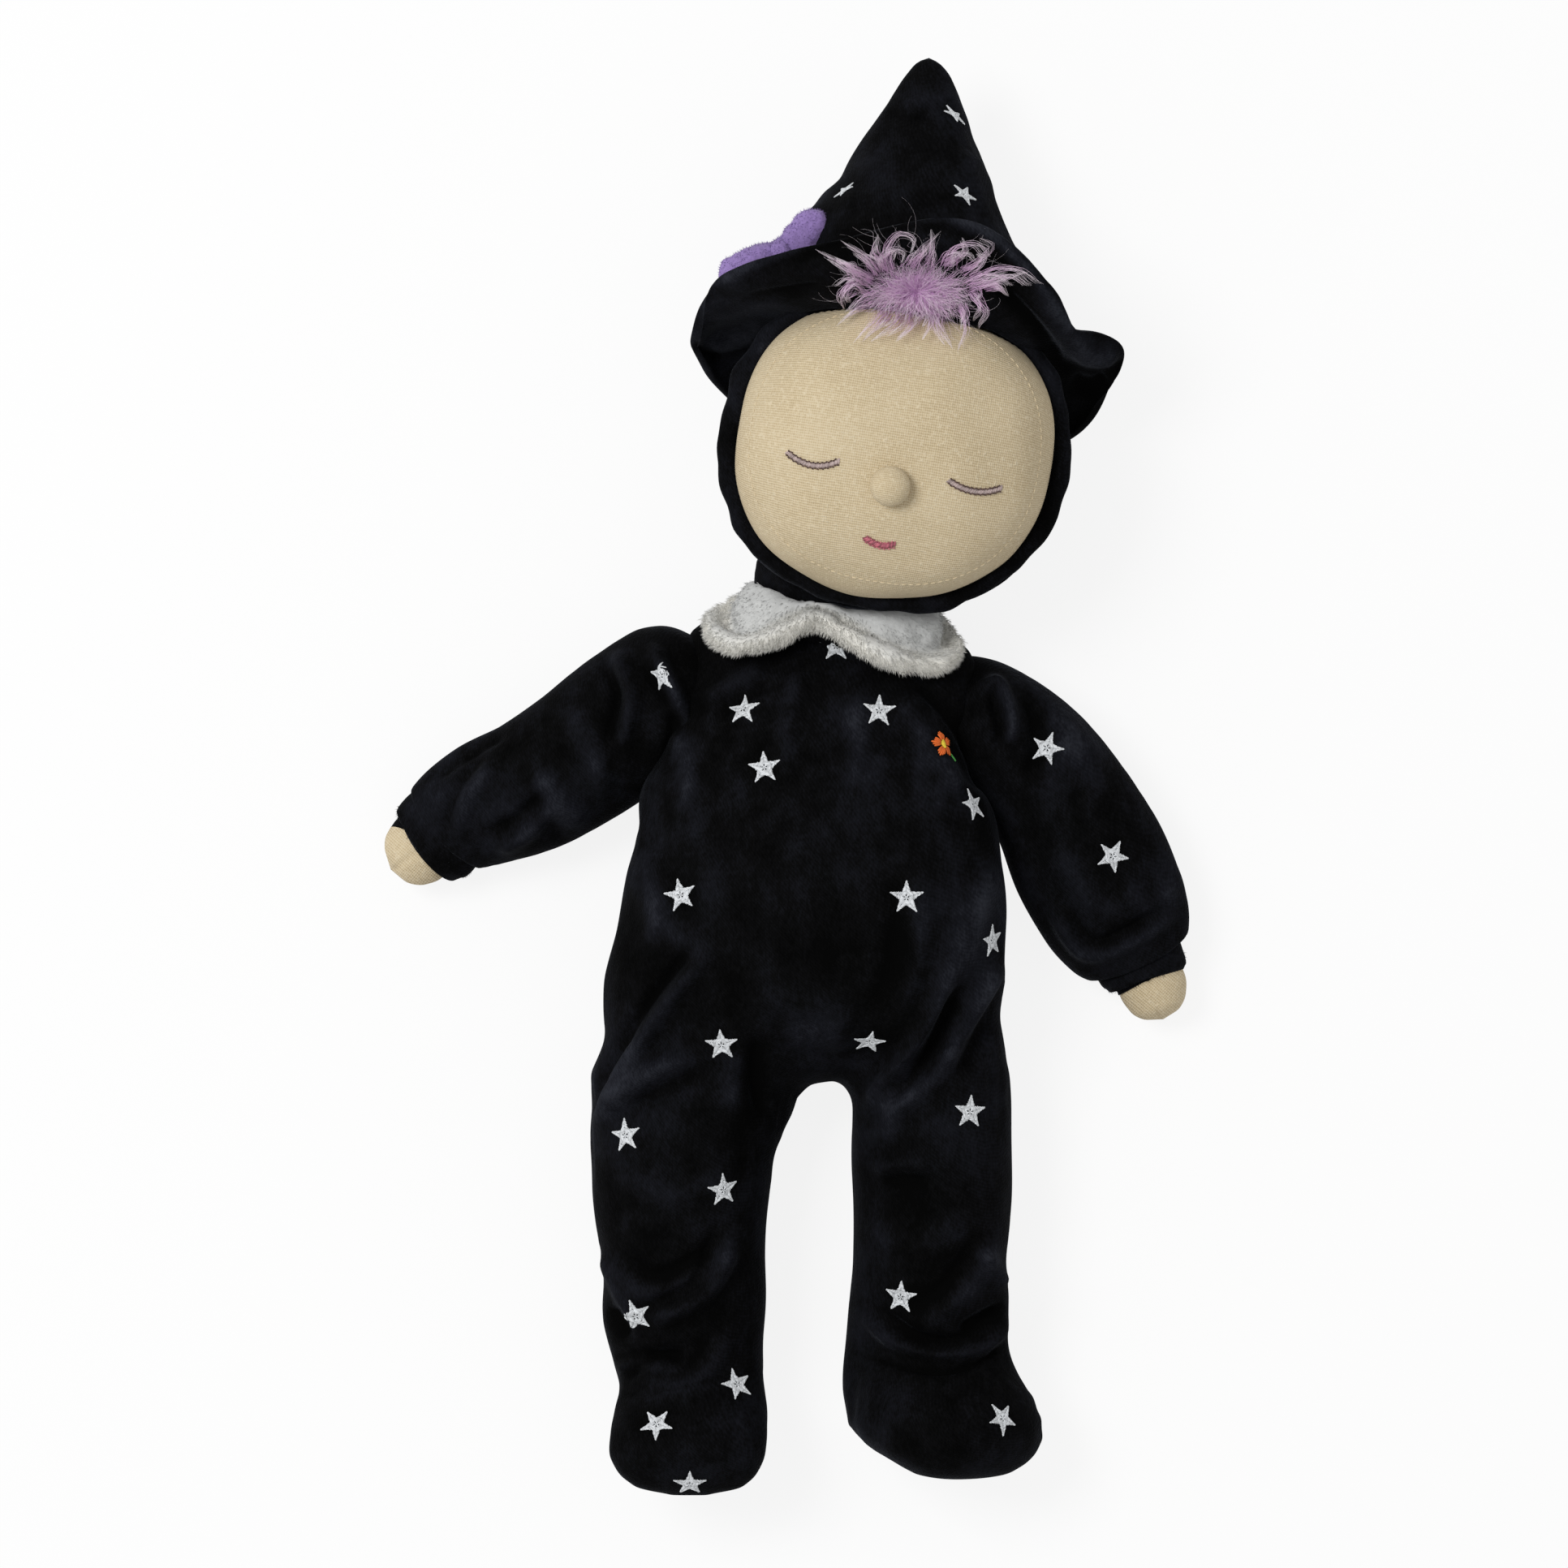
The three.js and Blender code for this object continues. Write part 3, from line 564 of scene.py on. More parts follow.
def growFuzz(piece, count, size, thick, seed, lean, where):
    # short fibres rooted all over a surface, joined to it
    draw = np.random.default_rng(seed)
    mesh = piece.data
    mesh.calc_loop_triangles()
    corners = np.empty(len(mesh.loop_triangles) * 3, int)
    mesh.loop_triangles.foreach_get("vertices", corners)
    points, normals = readPoints(piece), readNormals(piece)
    tris = corners.reshape(-1, 3)
    a, b, c = (points[tris[:, k]] for k in range(3))
    weight = np.linalg.norm(np.cross(b - a, c - a), axis=1)
    weight = weight * where((a + b + c) / 3, unit(normals[tris].sum(1)))
    chosen = draw.choice(len(tris), count, p=weight / weight.sum())
    u, v = draw.uniform(0, 1, (2, count, 1))
    flip = u + v > 1
    u, v = np.where(flip, 1 - u, u), np.where(flip, 1 - v, v)
    a, b, c = a[chosen], b[chosen], c[chosen]
    normal = unit(normals[tris[chosen]].sum(1))
    root = a + (b - a) * u + (c - a) * v - normal * 0.25 * mm
    first = unit(normal * 0.6 + lean(root) * 0.6 + draw.normal(0, 0.3, (count, 3)))
    second = unit(first + lean(root) * 0.9 + draw.normal(0, 0.25, (count, 3)))
    long = draw.uniform(*size, (count, 1)) * mm
    middle = root + first * long * 0.5
    tip = middle + second * long * 0.5
    side = unit(np.cross(first, draw.normal(size=(count, 3))))
    other = np.cross(first, side)
    rings = []
    for spot, girth in ((root, thick), (middle, thick * 0.7)):
        for k in range(3):
            turn = 2 * np.pi * k / 3
            rings.append(spot + (side * math.cos(turn) + other * math.sin(turn)) * girth * mm)
    fibres = np.stack([*rings, tip], 1).reshape(-1, 3)
    pattern = [(0, 1, 4, 3), (1, 2, 5, 4), (2, 0, 3, 5), (3, 4, 6), (4, 5, 6), (5, 3, 6), (2, 1, 0)]
    faces = [[7 * k + i for i in face] for k in range(count) for face in pattern]
    joinForms(piece.name, [piece, meshForm("fuzz", fibres.tolist(), faces)])
    pickOnly(piece)
    bpy.ops.object.shade_smooth()


def cutOff(piece, name, at, way, where):
    # what lies beyond a plane becomes a piece of its own
    at, way = np.array(at) * mm, unit(way)
    pickOnly(piece)
    bpy.ops.object.mode_set(mode="OBJECT")

    def pick(test):
        middles = np.empty(len(piece.data.polygons) * 3)
        piece.data.polygons.foreach_get("center", middles)
        chosen = test(middles.reshape(-1, 3))
        piece.data.vertices.foreach_set("select", np.zeros(len(piece.data.vertices), bool))
        piece.data.edges.foreach_set("select", np.zeros(len(piece.data.edges), bool))
        piece.data.polygons.foreach_set("select", chosen)
        bpy.ops.object.mode_set(mode="EDIT")
        bpy.ops.mesh.select_mode(type="FACE")

    pick(lambda c: where(c / mm) & (np.abs((c - at) @ way) < 12 * mm))
    bpy.ops.mesh.bisect(plane_co=at, plane_no=way, use_fill=False)
    bpy.ops.object.mode_set(mode="OBJECT")
    pick(lambda c: where(c / mm) & ((c - at) @ way > 0))
    before = set(bpy.data.objects)
    bpy.ops.mesh.separate(type="SELECTED")
    bpy.ops.object.mode_set(mode="OBJECT")
    made = (set(bpy.data.objects) - before).pop()
    made.name = made.data.name = name
    return made


class Skin:
    # the outer surface of some pieces, to lay stitches on
    def __init__(self, *pieces):
        points, faces = [], []
        for piece in pieces:
            start = len(points)
            points += [v.co.copy() for v in piece.data.vertices]
            faces += [[start + i for i in p.vertices] for p in piece.data.polygons]
        self.tree = BVHTree.FromPolygons(points, faces)

    def seen(self, px, py):
        eye = camera.location
        way = (Vector(fromPhoto(px, py)) - eye).normalized()
        place, normal, _, _ = self.tree.ray_cast(eye, way)
        return (np.array(place), np.array(normal)) if place else None

    def under(self, point, normal, reach=6 * mm):
        start = Vector(point) + Vector(normal) * reach
        place, found, _, _ = self.tree.ray_cast(start, -Vector(normal), reach * 2.5)
        if place is None:
            place, found, _, _ = self.tree.find_nearest(Vector(point))
        return np.array(place), np.array(found)


def spindle():
    # one short thread, lying along z, to be copied
    bpy.ops.object.select_all(action="DESELECT")
    bpy.ops.mesh.primitive_uv_sphere_add(segments=6, ring_count=5, radius=1)
    form = bpy.context.object
    points = readPoints(form)
    girth = np.linalg.norm(points[:, :2], axis=1, keepdims=True)
    points[:, :2] *= np.where(girth > 1e-6, np.maximum(girth, 1e-6) ** -0.45, 1)
    faces = [list(p.vertices) for p in form.data.polygons]
    bpy.data.objects.remove(form)
    return points, faces


threadPoints, threadFaces = spindle()


def sew(name, threads, material):
    # threads are start, end, normal, width, arch and shade, in metres
    points, faces, shades = [], [], []
    for start, end, normal, width, arch, shade in threads:
        start, end = np.array(start), np.array(end)
        way = unit(end - start)
        side = unit(np.cross(way, normal))
        up = np.cross(side, way)
        lx, ly, lz = threadPoints.T
        base = len(points)
        laid = (
            (start + end) / 2
            + np.outer(lz, (end - start) / 2)
            + np.outer(lx * width / 2, side)
            + np.outer(ly * width / 2.6 + arch * (1 - lz**2), up)
        )
        points.extend(laid)
        faces.extend([[base + i for i in face] for face in threadFaces])
        shades.extend([shade] * len(laid))
    piece = meshForm(name, [tuple(p) for p in points], faces)
    keep(piece, "shade", shades)
    pickOnly(piece)
    bpy.ops.object.shade_smooth()
    return paint(piece, material)


# the sleepsuit: body, legs and feet are lofted, grown together and puffed out
suit = {
    "voxel": 3.6 * mm,
    "smooth": 6,
    "body": [
        [8, -93, 27, 0, 0], [8, -90, 27, 30, 18], [5.5, -82, 28, 51, 25], [4.4, -74, 30, 59.0, 29.5],
        [6.6, -55, 33, 58.8, 32.5], [9.2, -36, 33, 57.0, 33], [10.6, -22, 31.5, 54.4, 31.5],
        [10.2, -6, 29, 51.0, 29], [12.8, 16, 26, 47.5, 26], [13.6, 30, 25, 46, 21],
        [14.2, 38, 25.6, 41, 17.5], [14.8, 44, 26.6, 29, 15], [15.2, 48, 27.8, 19, 12.5],
        [15.4, 51, 28.4, 0, 0],
    ],
    "legs": {
        "left": [
            [-26, -66, 27, 14, 14], [-27, -80, 27, 27, 23], [-27.6, -97, 27, 31.6, 26],
            [-30.6, -109, 26.4, 28.8, 25.6], [-31.2, -121, 25.5, 28, 25], [-31, -139, 24, 26.4, 23.5],
            [-30.8, -150, 23, 25.2, 22.6], [-30.6, -160, 22.2, 25.2, 22], [-30.4, -171, 21.5, 24.6, 21],
            [-29.4, -184, 21, 22.8, 20.5], [-29, -194, 21, 19, 17], [-29, -200, 21, 0, 0],
        ],
        "right": [
            [40, -66, 27, 14, 14], [42, -80, 27, 23, 23], [44.2, -98, 27, 25.2, 26],
            [44.6, -122, 25.5, 25.0, 24.5], [43.3, -147, 24, 24.0, 23], [43, -160, 22.5, 24.8, 22],
            [42.2, -172, 21.5, 24.2, 21], [41.6, -184, 21, 23.4, 20.5], [42, -194, 21, 20, 17],
            [42, -200, 21, 0, 0],
        ],
    },
    "feet": {
        "left": [
            [-29.8, -175, 7, 0, 0], [-29.8, -177, 9, 13, 9], [-30.0, -181, 16, 21.4, 14.5],
            [-30.2, -188, 26, 24.2, 16.5], [-30.4, -196, 36, 24.6, 16.5], [-30.6, -204, 44, 23, 14.5],
            [-30.8, -208.5, 49, 16.5, 10.5], [-30.8, -210.5, 51.5, 0, 0],
        ],
        "right": [
            [31, -172, 8, 0, 0], [32, -174, 10, 13, 9], [37, -180, 16, 21, 15.5],
            [45.5, -186.5, 26, 26.8, 17.5], [54, -192.5, 35, 28, 17.5], [60.5, -198.5, 42, 25, 15],
            [65, -202.5, 46.5, 15.5, 10], [67, -204, 48.5, 0, 0],
        ],
    },
    "shoulders": (-0.994, 0.11, 0),  # the way they lean
    "footTurn": {"left": 2, "right": 30},  # degrees outwards
    "puff": {"inset": 1.3, "pressure": 4.0, "cap": 5.0, "slack": 0.05},
    # line of pixels, width in mm, rise in mm, side of the crease beside it
    "folds": [
        ([(880, 1165), (812, 1250), (762, 1335), (733, 1395)], 2.7, 4.4, 1),
        ([(748, 1362), (800, 1322), (862, 1298)], 3.4, 3.7, 1),
        ([(936, 1270), (930, 1320), (945, 1380)], 2.9, -3.1, 0),
        ([(905, 1290), (900, 1370)], 4.0, 2.0, 0),
        ([(800, 1628), (870, 1590), (905, 1525)], 2.7, 4.1, -1),
        ([(742, 1540), (765, 1590), (790, 1640)], 2.7, 2.7, 0),
        ([(748, 1610), (775, 1650)], 2.1, -2.7, 0),
        ([(762, 1700), (800, 1675), (850, 1662)], 2.2, -3.4, 0),
        ([(1170, 1190), (1115, 1300), (1066, 1368)], 2.9, 4.4, -1),
        ([(1232, 1185), (1185, 1262), (1150, 1320)], 3.5, 3.7, -1),
        ([(1130, 1300), (1100, 1370), (1090, 1420)], 4.0, 2.4, 0),
        ([(1075, 1442), (1110, 1432), (1150, 1436)], 2.7, 2.4, 1),
        ([(1060, 1618), (1110, 1655), (1165, 1668), (1222, 1652), (1244, 1622)], 2.4, 3.7, -1),
        ([(1180, 1640), (1215, 1622), (1240, 1612)], 2.1, -3.7, 0),
        ([(1200, 1530), (1240, 1590)], 2.6, 2.4, 0),
        ([(1122, 838), (1160, 870), (1200, 930), (1218, 968)], 2.4, -2.8, 0),
        ([(1100, 850), (1150, 925), (1180, 985)], 4.0, 2.7, 0),
        ([(866, 868), (905, 845), (945, 822)], 2.7, 2.7, 1),
        ([(985, 820), (972, 890), (965, 960)], 2.9, 1.7, 0),
        ([(1060, 840), (1052, 900), (1056, 970)], 3.2, 1.5, 0),
        ([(835, 900), (850, 950), (845, 1010)], 3.2, 2.0, 0),
        ([(1020, 1215), (1032, 1270)], 7.2, 1.0, 0),
        ([(960, 1250), (1010, 1275), (1050, 1272)], 4.8, 1.1, 0),
        ([(775, 1060), (830, 1140), (880, 1180)], 4.8, 2.0, 0),
        ([(1228, 1060), (1190, 1150), (1160, 1230)], 4.8, 2.4, 0),
        ([(1132, 1065), (1121, 1210), (1087, 1266)], 4.0, 1.6, 1),
        ([(1076, 1367), (1132, 1345), (1188, 1277)], 3.2, 2.2, -1),
        ([(1233, 1524), (1188, 1591), (1132, 1636)], 3.4, 2.0, 1),
        ([(751, 1546), (796, 1591), (863, 1569), (908, 1513)], 3.0, 2.2, -1),
        ([(757, 1692), (796, 1681), (841, 1692)], 2.2, 2.2, -1),
        ([(790, 1040), (812, 1100), (800, 1180)], 4.0, 1.8, 0),
        ([(830, 1010), (870, 1060), (900, 1130)], 5.0, 1.4, 0),
        ([(760, 1440), (820, 1470), (900, 1440)], 4.0, 1.5, 0),
        ([(1066, 1500), (1120, 1530), (1200, 1500)], 4.5, 1.5, 0),
        ([(900, 1640), (860, 1700), (800, 1715)], 3.2, 1.6, 1),
    ],
    # line of pixels, width in mm, and how much painted light (above nought) or painted shade (below) lies
    # there
    "nap": [
        ([(985, 840), (1040, 900), (1120, 1010), (1180, 1100)], 15, 0.16),
        ([(1010, 1190), (1030, 1290)], 12, -0.06), ([(1170, 1100), (1200, 1220)], 9, 0.12),
        ([(850, 1030), (840, 1150), (900, 1220)], 16, -0.2), ([(1110, 1150), (1100, 1250)], 7, -0.18),
        ([(930, 1330), (915, 1420)], 9, -0.16), ([(800, 1310), (880, 1370)], 10, 0.03),
        ([(760, 1480), (860, 1620)], 13, -0.16), ([(925, 1450), (915, 1620)], 7, 0.12),
        ([(1110, 1360), (1170, 1400)], 10, 0.16), ([(1090, 1480), (1120, 1600)], 14, -0.2),
        ([(1210, 1540), (1200, 1640)], 8, 0.14), ([(1120, 1720), (1220, 1760)], 13, -0.08),
        ([(820, 1760), (900, 1780)], 14, 0.08),
    ],
    # a pixel, a move to the right and up in mm, and how far it reaches in mm
    "grabs": [
        (800, 985, -6.2, 0, 11), (775, 1075, -1.6, 0, 14), (748, 1200, -2.7, 0, 13),
        (735, 1290, -4.6, 0, 15), (1225, 1000, 1.8, 0, 14), (1240, 1120, 2.4, 0, 16),
        (1234, 1230, 3.1, 0, 13), (1245, 1400, -0.7, 0, 14), (728, 1400, -1.4, 0, 15),
        (735, 1500, -1.2, 0, 14), (748, 1620, -2.4, 0, 12), (945, 1450, 2.4, 0, 16),
        (941, 1580, 2.2, 0, 16), (1050, 1420, -1.2, 0, 14), (985, 1350, 1.8, -2.3, 9),
        (1012, 1332, 0, -1.1, 8), (1240, 1600, 1.2, 0, 8), (1250, 1675, 1.8, 0.4, 9),
        (1282, 1752, -1.0, 0, 9), (1060, 1762, -1.8, -0.8, 10), (850, 1836, 0, 1.4, 14),
        (1185, 1822, 0, 1.8, 14), (941, 1715, 1.7, 0, 11), (1046, 1700, -1.0, 0, 11),
        (757, 1790, -1.2, 0, 9), (1282, 1795, 1.0, 0, 8),
    ],
    "instep": {
        "left": [(757, 1722), (830, 1708), (900, 1696), (942, 1690)],
        "right": [(1050, 1668), (1110, 1684), (1165, 1690), (1223, 1668), (1240, 1648)],
    },
}


def grab(piece, moves):
    # soft pulls, as with a sculptor's grab brush
    points = readPoints(piece)
    for px, py, right, up, reach in moves:
        away = np.linalg.norm(points[:, :2] - fromPhoto(px, py, 30)[:2], axis=1) / mm
        points[:, :2] += np.exp(-((away / reach) ** 2))[:, None] * np.array([right, up]) * mm
    writePoints(piece, points)


clothSteps = 20


def puffOut(piece, inset, pressure, cap, slack):
    # the cloth is let go under pressure from inside, and settles in soft folds
    start = readPoints(piece) - readNormals(piece) * inset * mm
    start[:, 2] = np.maximum(start[:, 2], ground * mm)
    writePoints(piece, start)
    pickOnly(piece)
    made = piece.modifiers.new("cloth", "CLOTH")
    hold = made.settings
    hold.quality, hold.mass = 5, 0.15
    hold.tension_stiffness = hold.compression_stiffness = 12
    hold.shear_stiffness, hold.bending_stiffness = 4, 0.4
    hold.use_pressure, hold.uniform_pressure_force = True, pressure
    hold.shrink_min = -slack
    hold.effector_weights.gravity = 0
    made.collision_settings.use_collision = False
    for step in range(1, clothSteps + 1):
        scene.frame_set(step)
    bpy.ops.object.modifier_apply(modifier=made.name)
    moved = readPoints(piece) - start
    size = np.linalg.norm(moved, axis=1, keepdims=True)
    moved *= np.minimum(1, cap * mm / np.maximum(size, 1e-9))
    start += moved
    start[:, 2] = np.maximum(start[:, 2], ground * mm)
    writePoints(piece, start)
    scene.frame_set(1)


forms = [tubeForm("suit_body", suit["body"], 90, 64, suit["shoulders"], 2.15)]
for hand in ("left", "right"):
    turn = math.radians(suit["footTurn"][hand])
    forms.append(tubeForm("leg", suit["legs"][hand], 70, 48))
    forms.append(tubeForm("foot", suit["feet"][hand], 48, 48, (math.cos(turn), 0, -math.sin(turn)), 2.3))
suitBody = joinForms("body_velour", forms)
useModifier(suitBody, "REMESH", mode="VOXEL", voxel_size=suit["voxel"])
useModifier(suitBody, "SMOOTH", factor=0.5, iterations=suit["smooth"])
puffOut(suitBody, **suit["puff"])
grab(suitBody, suit["grabs"])
useModifier(suitBody, "SUBSURF", levels=2, render_levels=2)
seams = [(suit["instep"]["left"], 0.9, -0.6, 0), (suit["instep"]["right"], 0.8, -1.6, 0)]
layFolds(suitBody, suit["folds"] + seams, suit["nap"])
useModifier(suitBody, "SMOOTH", factor=0.5, iterations=2)
pickOnly(suitBody)
bpy.ops.object.shade_smooth()
print("suit grown:", len(suitBody.data.polygons), "faces")

# sleeves, cuffs and hands
arms = {
    "left": {
        "sleeve": [
            [-18, 31, 20, 0, 0], [-22, 29, 20, 12, 12], [-30, 25, 21, 21, 19],
            [-36.5, 21.6, 21.5, 23.0, 21], [-48, 15.2, 21, 22.2, 20.5], [-61.8, 5.4, 20, 21.3, 19.6],
            [-75.5, -2.8, 18.5, 20.5, 18], [-88.8, -8.1, 16, 19.2, 15.8], [-97, -12.6, 14.4, 17.4, 14.2],
            [-100.6, -15.4, 13.6, 16.1, 13.2], [-102.2, -16.9, 13, 14.2, 12], [-102, -16.7, 13, 10, 9],
            [-100.6, -15.4, 13, 0, 0],
        ],
        "cuff": [
            [-99.4, -13.6, 12.8, 12.6, 10.8], [-101.6, -15.4, 12.7, 14, 12],
            [-103.8, -17.3, 12.5, 14.7, 12.2], [-105.6, -19.6, 12.3, 14.8, 11.9],
            [-107.2, -21.3, 12.1, 14.3, 11.4], [-107.5, -21.6, 12, 13.2, 10.6],
            [-106, -19.4, 12, 11.8, 9.8],
        ],
        "hand": [
            [-101, -15.6, 12, 0, 0], [-102, -16.4, 12, 7, 6], [-106, -19.6, 12, 10.4, 9],
            [-110.8, -23, 12, 11, 9.5], [-114.6, -25.8, 11.8, 9.6, 8.4], [-117.4, -27.8, 11.6, 6.4, 5.8],
            [-119.2, -29, 11.5, 0, 0],
        ],
    },
    "right": {
        "sleeve": [
            [43.8, 26.6, 19, 0, 0], [47, 24.6, 19, 11, 10], [52.8, 21, 20, 15.6, 15.4],
            [58, 17.4, 21, 17.8, 19.2], [65.4, 11.5, 21.5, 19.4, 20.6], [75.4, 2.5, 20.8, 20.2, 20.2],
            [83.8, -10.9, 19.5, 22.2, 19], [91.2, -26.1, 18, 23.8, 17.6], [97.6, -39.3, 16.2, 22.8, 15.8],
            [102.2, -48.4, 14.6, 20.2, 14.2], [105, -54.1, 13.2, 16.4, 12.8],
            [105.8, -55.9, 12.8, 13, 11.2], [105.6, -55.5, 12.8, 9.6, 9], [104.8, -53.9, 12.8, 0, 0],
        ],
        "cuff": [
            [103.6, -51, 12.6, 11.4, 10.4], [104.8, -53.4, 12.5, 13.6, 11.7],
            [106.8, -56.4, 12.3, 13.8, 11.9], [108.4, -59, 12.2, 13.0, 11.5],
            [109.5, -61.2, 12, 12.2, 10.9], [109.6, -61.5, 12, 10.9, 9.9], [108.6, -59.4, 12, 10, 9],
        ],
        "hand": [
            [105.8, -51.6, 12, 0, 0], [106.6, -53.1, 12, 6.5, 6], [108.8, -58.1, 12, 9.6, 9],
            [110.8, -64.1, 12, 10.3, 9.4], [112.4, -69.2, 11.8, 8.8, 8.4], [113.5, -72.6, 11.6, 5.6, 5.2],
            [114, -74.2, 11.6, 0, 0],
        ],
    },
    "puff": {"inset": 0.9, "pressure": 4.0, "cap": 3.5, "slack": 0.05},
    "fuzz": {"count": 900, "size": (0.6, 1.4), "thick": 0.07},
}
sleeveFolds = [
    ([(756, 800), (778, 850), (764, 925)], 2.6, 3.7, 1),
    ([(800, 790), (822, 840), (828, 890)], 2.6, 2.4, 0),
    ([(700, 870), (735, 930), (740, 985)], 4.0, 2.0, 0),
    ([(625, 900), (570, 930), (528, 962)], 2.1, -2.0, 0),
    ([(612, 935), (575, 985), (560, 1035)], 2.6, 2.0, 1),
    ([(690, 985), (640, 1030), (605, 1046)], 2.7, 3.1, 1),
    ([(1204, 852), (1226, 844), (1242, 872), (1246, 925)], 2.1, 4.1, 1),
    ([(1262, 845), (1276, 890), (1270, 960)], 2.6, -2.7, 0),
    ([(1300, 900), (1330, 980)], 4.0, 1.7, 0),
    ([(1292, 1112), (1342, 1176), (1420, 1146), (1456, 1118)], 2.2, 2.7, -1),
    ([(1300, 1040), (1350, 1110), (1400, 1130)], 4.0, 1.7, 0),
    ([(807, 807), (846, 900), (832, 950)], 2.2, 2.4, 1),
    ([(660, 940), (690, 990), (720, 1020)], 4.0, 1.6, 1),
    ([(1290, 870), (1340, 930), (1360, 1000)], 4.0, 1.6, 1),
    ([(1380, 1090), (1420, 1120), (1450, 1090)], 3.2, 1.8, 0),
]
sleeves, cuffs, hands = {}, {}, {}
for hand in ("left", "right"):
    shape = arms[hand]
    sleeve = tubeForm("shoulder_velour_" + hand, shape["sleeve"], 62, 44)
    puffOut(sleeve, **arms["puff"])
    useModifier(sleeve, "SUBSURF", levels=2, render_levels=2)
    layFolds(sleeve, sleeveFolds)
    useModifier(sleeve, "SMOOTH", factor=0.5, iterations=2)
    sleeves[hand] = sleeve
    cuffs[hand] = tubeForm("cuff_velour_" + hand, shape["cuff"], 40, 72)
    first, last = (np.array(shape["cuff"][k][:3]) * mm for k in (2, 5))
    outward = unit(last - first)
    growFuzz(
        cuffs[hand], **arms["fuzz"], seed=17, lean=lambda root: root * 0 + outward,
        where=lambda places, normals: np.exp(-((((places - last) @ outward) / mm / 1.3) ** 2)),
    )
    hands[hand] = tubeForm("hand_cotton_" + hand, shape["hand"], 60, 64)
    points = readPoints(hands[hand])
    line = np.array(shape["hand"])[:, :2] * mm
    away, _, _ = lineDistance(points[:, :2], line)
    groove = np.exp(-((away / mm / 0.7) ** 2)) * (points[:, 2] > 12 * mm)
    points -= readNormals(hands[hand]) * (0.7 * mm * groove)[:, None]
    writePoints(hands[hand], points)
print("arms made")


def layFlat(piece, middle, radius):
    # the weave's own measure: the cloth unrolled from a ball
    off = readPoints(piece) / mm - middle
    far = np.maximum(np.hypot(off[:, 0], off[:, 1]), 0.001)
    flat = off * (radius * np.arctan2(far, off[:, 2]) / far * mm)[:, None] * [1, 1, 0]
    keep(piece, "flat", flat, "FLOAT_VECTOR")


# head: hood, face, rim and neck, in the head's own frame, which leans to the right
head = {
    "middle": (32.16, 94.5, 50.5),
    "lean": -9.4,
    "oval": (52, 49, 47),
    "square": 2.28,
    "face": {
        "middle": 2.9, "wide": 46.4, "tall": 43.6, "hem": 1.2, "edge": 62.2, "top": 97.0,
        "ball": (47.0, 49.0),  # level of the middle and radius of the ball that it is nearest to
    },
    "rim": {"wide": 49.3, "tall": 46.0, "level": 61.2, "thick": 2.8, "sides": 0.8, "deep": 4.2},
    # strokes of painted highlight on the rim's left and right sides
    "rimPaintedLight": [
        ([(890, 580), (925, 450), (1010, 385)], 7, 0.1),
        ([(1240, 400), (1305, 490), (1318, 600), (1290, 680)], 7, 0.16),
    ],
    "hood": {"wide": 50.6, "tall": 47.4, "front": 61, "back": 4.9},
    "grabs": [(1268, 702, -0.8, 0.7, 15), (1215, 744, -0.6, 1.0, 12)],
    "fuzz": {"count": 2600, "size": (0.8, 2.0), "thick": 0.06},
    "neck": [
        [20, 34, 30, 0, 0], [20, 36, 30, 17, 13], [18, 48, 32, 22, 16], [16.5, 57, 34, 25.2, 18],
        [18, 66, 38, 25, 20], [22, 76, 43, 18, 16], [24, 82, 45, 0, 0],
    ],
    "gathers": {"middle": (18, 34), "count": 13, "rise": 0.8},
    "bend": ((18, 49, 33), (18, 63, 33)),  # the place beyond which the neck would follow the head; nothing reads it
}


def headTurn():
    lean = math.radians(head["lean"])
    c, s = math.cos(lean), math.sin(lean)
    return np.array([[c, -s, 0], [s, c, 0], [0, 0, 1]])


def fromHead(local):
    # from the head's own frame, in mm
    return np.asarray(local, float) @ headTurn().T + np.array(head["middle"])


def toHead(points):
    return (points - np.array(head["middle"])) @ headTurn()


def softSquare(turn, wide, tall):
    c, s = np.cos(turn), np.sin(turn)
    size = (np.abs(c / wide) ** head["square"] + np.abs(s / tall) ** head["square"]) ** (-1 / head["square"])
    return np.stack([c * size, s * size], -1)


def domeForm(name, wide, tall, middle, front, back, rows, columns, power):
    # a dome over a soft square, from its edge level to its top level
    turn = np.linspace(0, 2 * np.pi, columns + 1)
    turn[-1] = 0
    rise = np.linspace(0, np.pi / 2, rows)
    edge = softSquare(turn, wide, tall)
    flat = np.cos(rise) ** (2 / power)
    flat[-1] = 0
    points = np.zeros((rows, columns + 1, 3))
    points[..., :2] = edge[None] * flat[:, None, None] + [0, middle]
    points[..., 2] = (front + (back - front) * np.sin(rise) ** (2 / power))[:, None] - head["middle"][2]
    return gridForm(name, fromHead(points))


cloth = head["face"]
wide, tall = (cloth[k] + cloth["hem"] for k in ("wide", "tall"))
facePanel = domeForm("face_cotton", wide, tall, cloth["middle"], cloth["edge"], cloth["top"], 70, 144, 2.25)
back = head["hood"]
middle = cloth["middle"] * 0.7
hood = domeForm("hood_velour", back["wide"], back["tall"], middle, back["front"], back["back"], 60, 120, 2.2)
band = head["rim"]
turn = np.linspace(0, 2 * np.pi, 241)
turn[-1] = 0
line = softSquare(turn, band["wide"], band["tall"])
out = unit(line)
lap = np.linspace(0, 2 * np.pi, 25)
lap[-1] = 0
points = np.zeros((241, 25, 3))
thick = band["thick"] + band["sides"] * np.cos(turn)[:, None] ** 2
points[..., :2] = line[:, None] + out[:, None] * (np.cos(lap) * thick)[..., None] + [0, cloth["middle"]]
points[..., 2] = band["level"] + np.sin(lap) * band["deep"] - head["middle"][2]
points[-1] = points[0]
hoodRim = gridForm("rim_velour", fromHead(points))
roughen(hoodRim, (0.35, 14, 21))
roughen(hood, (0.8, 34, 22))
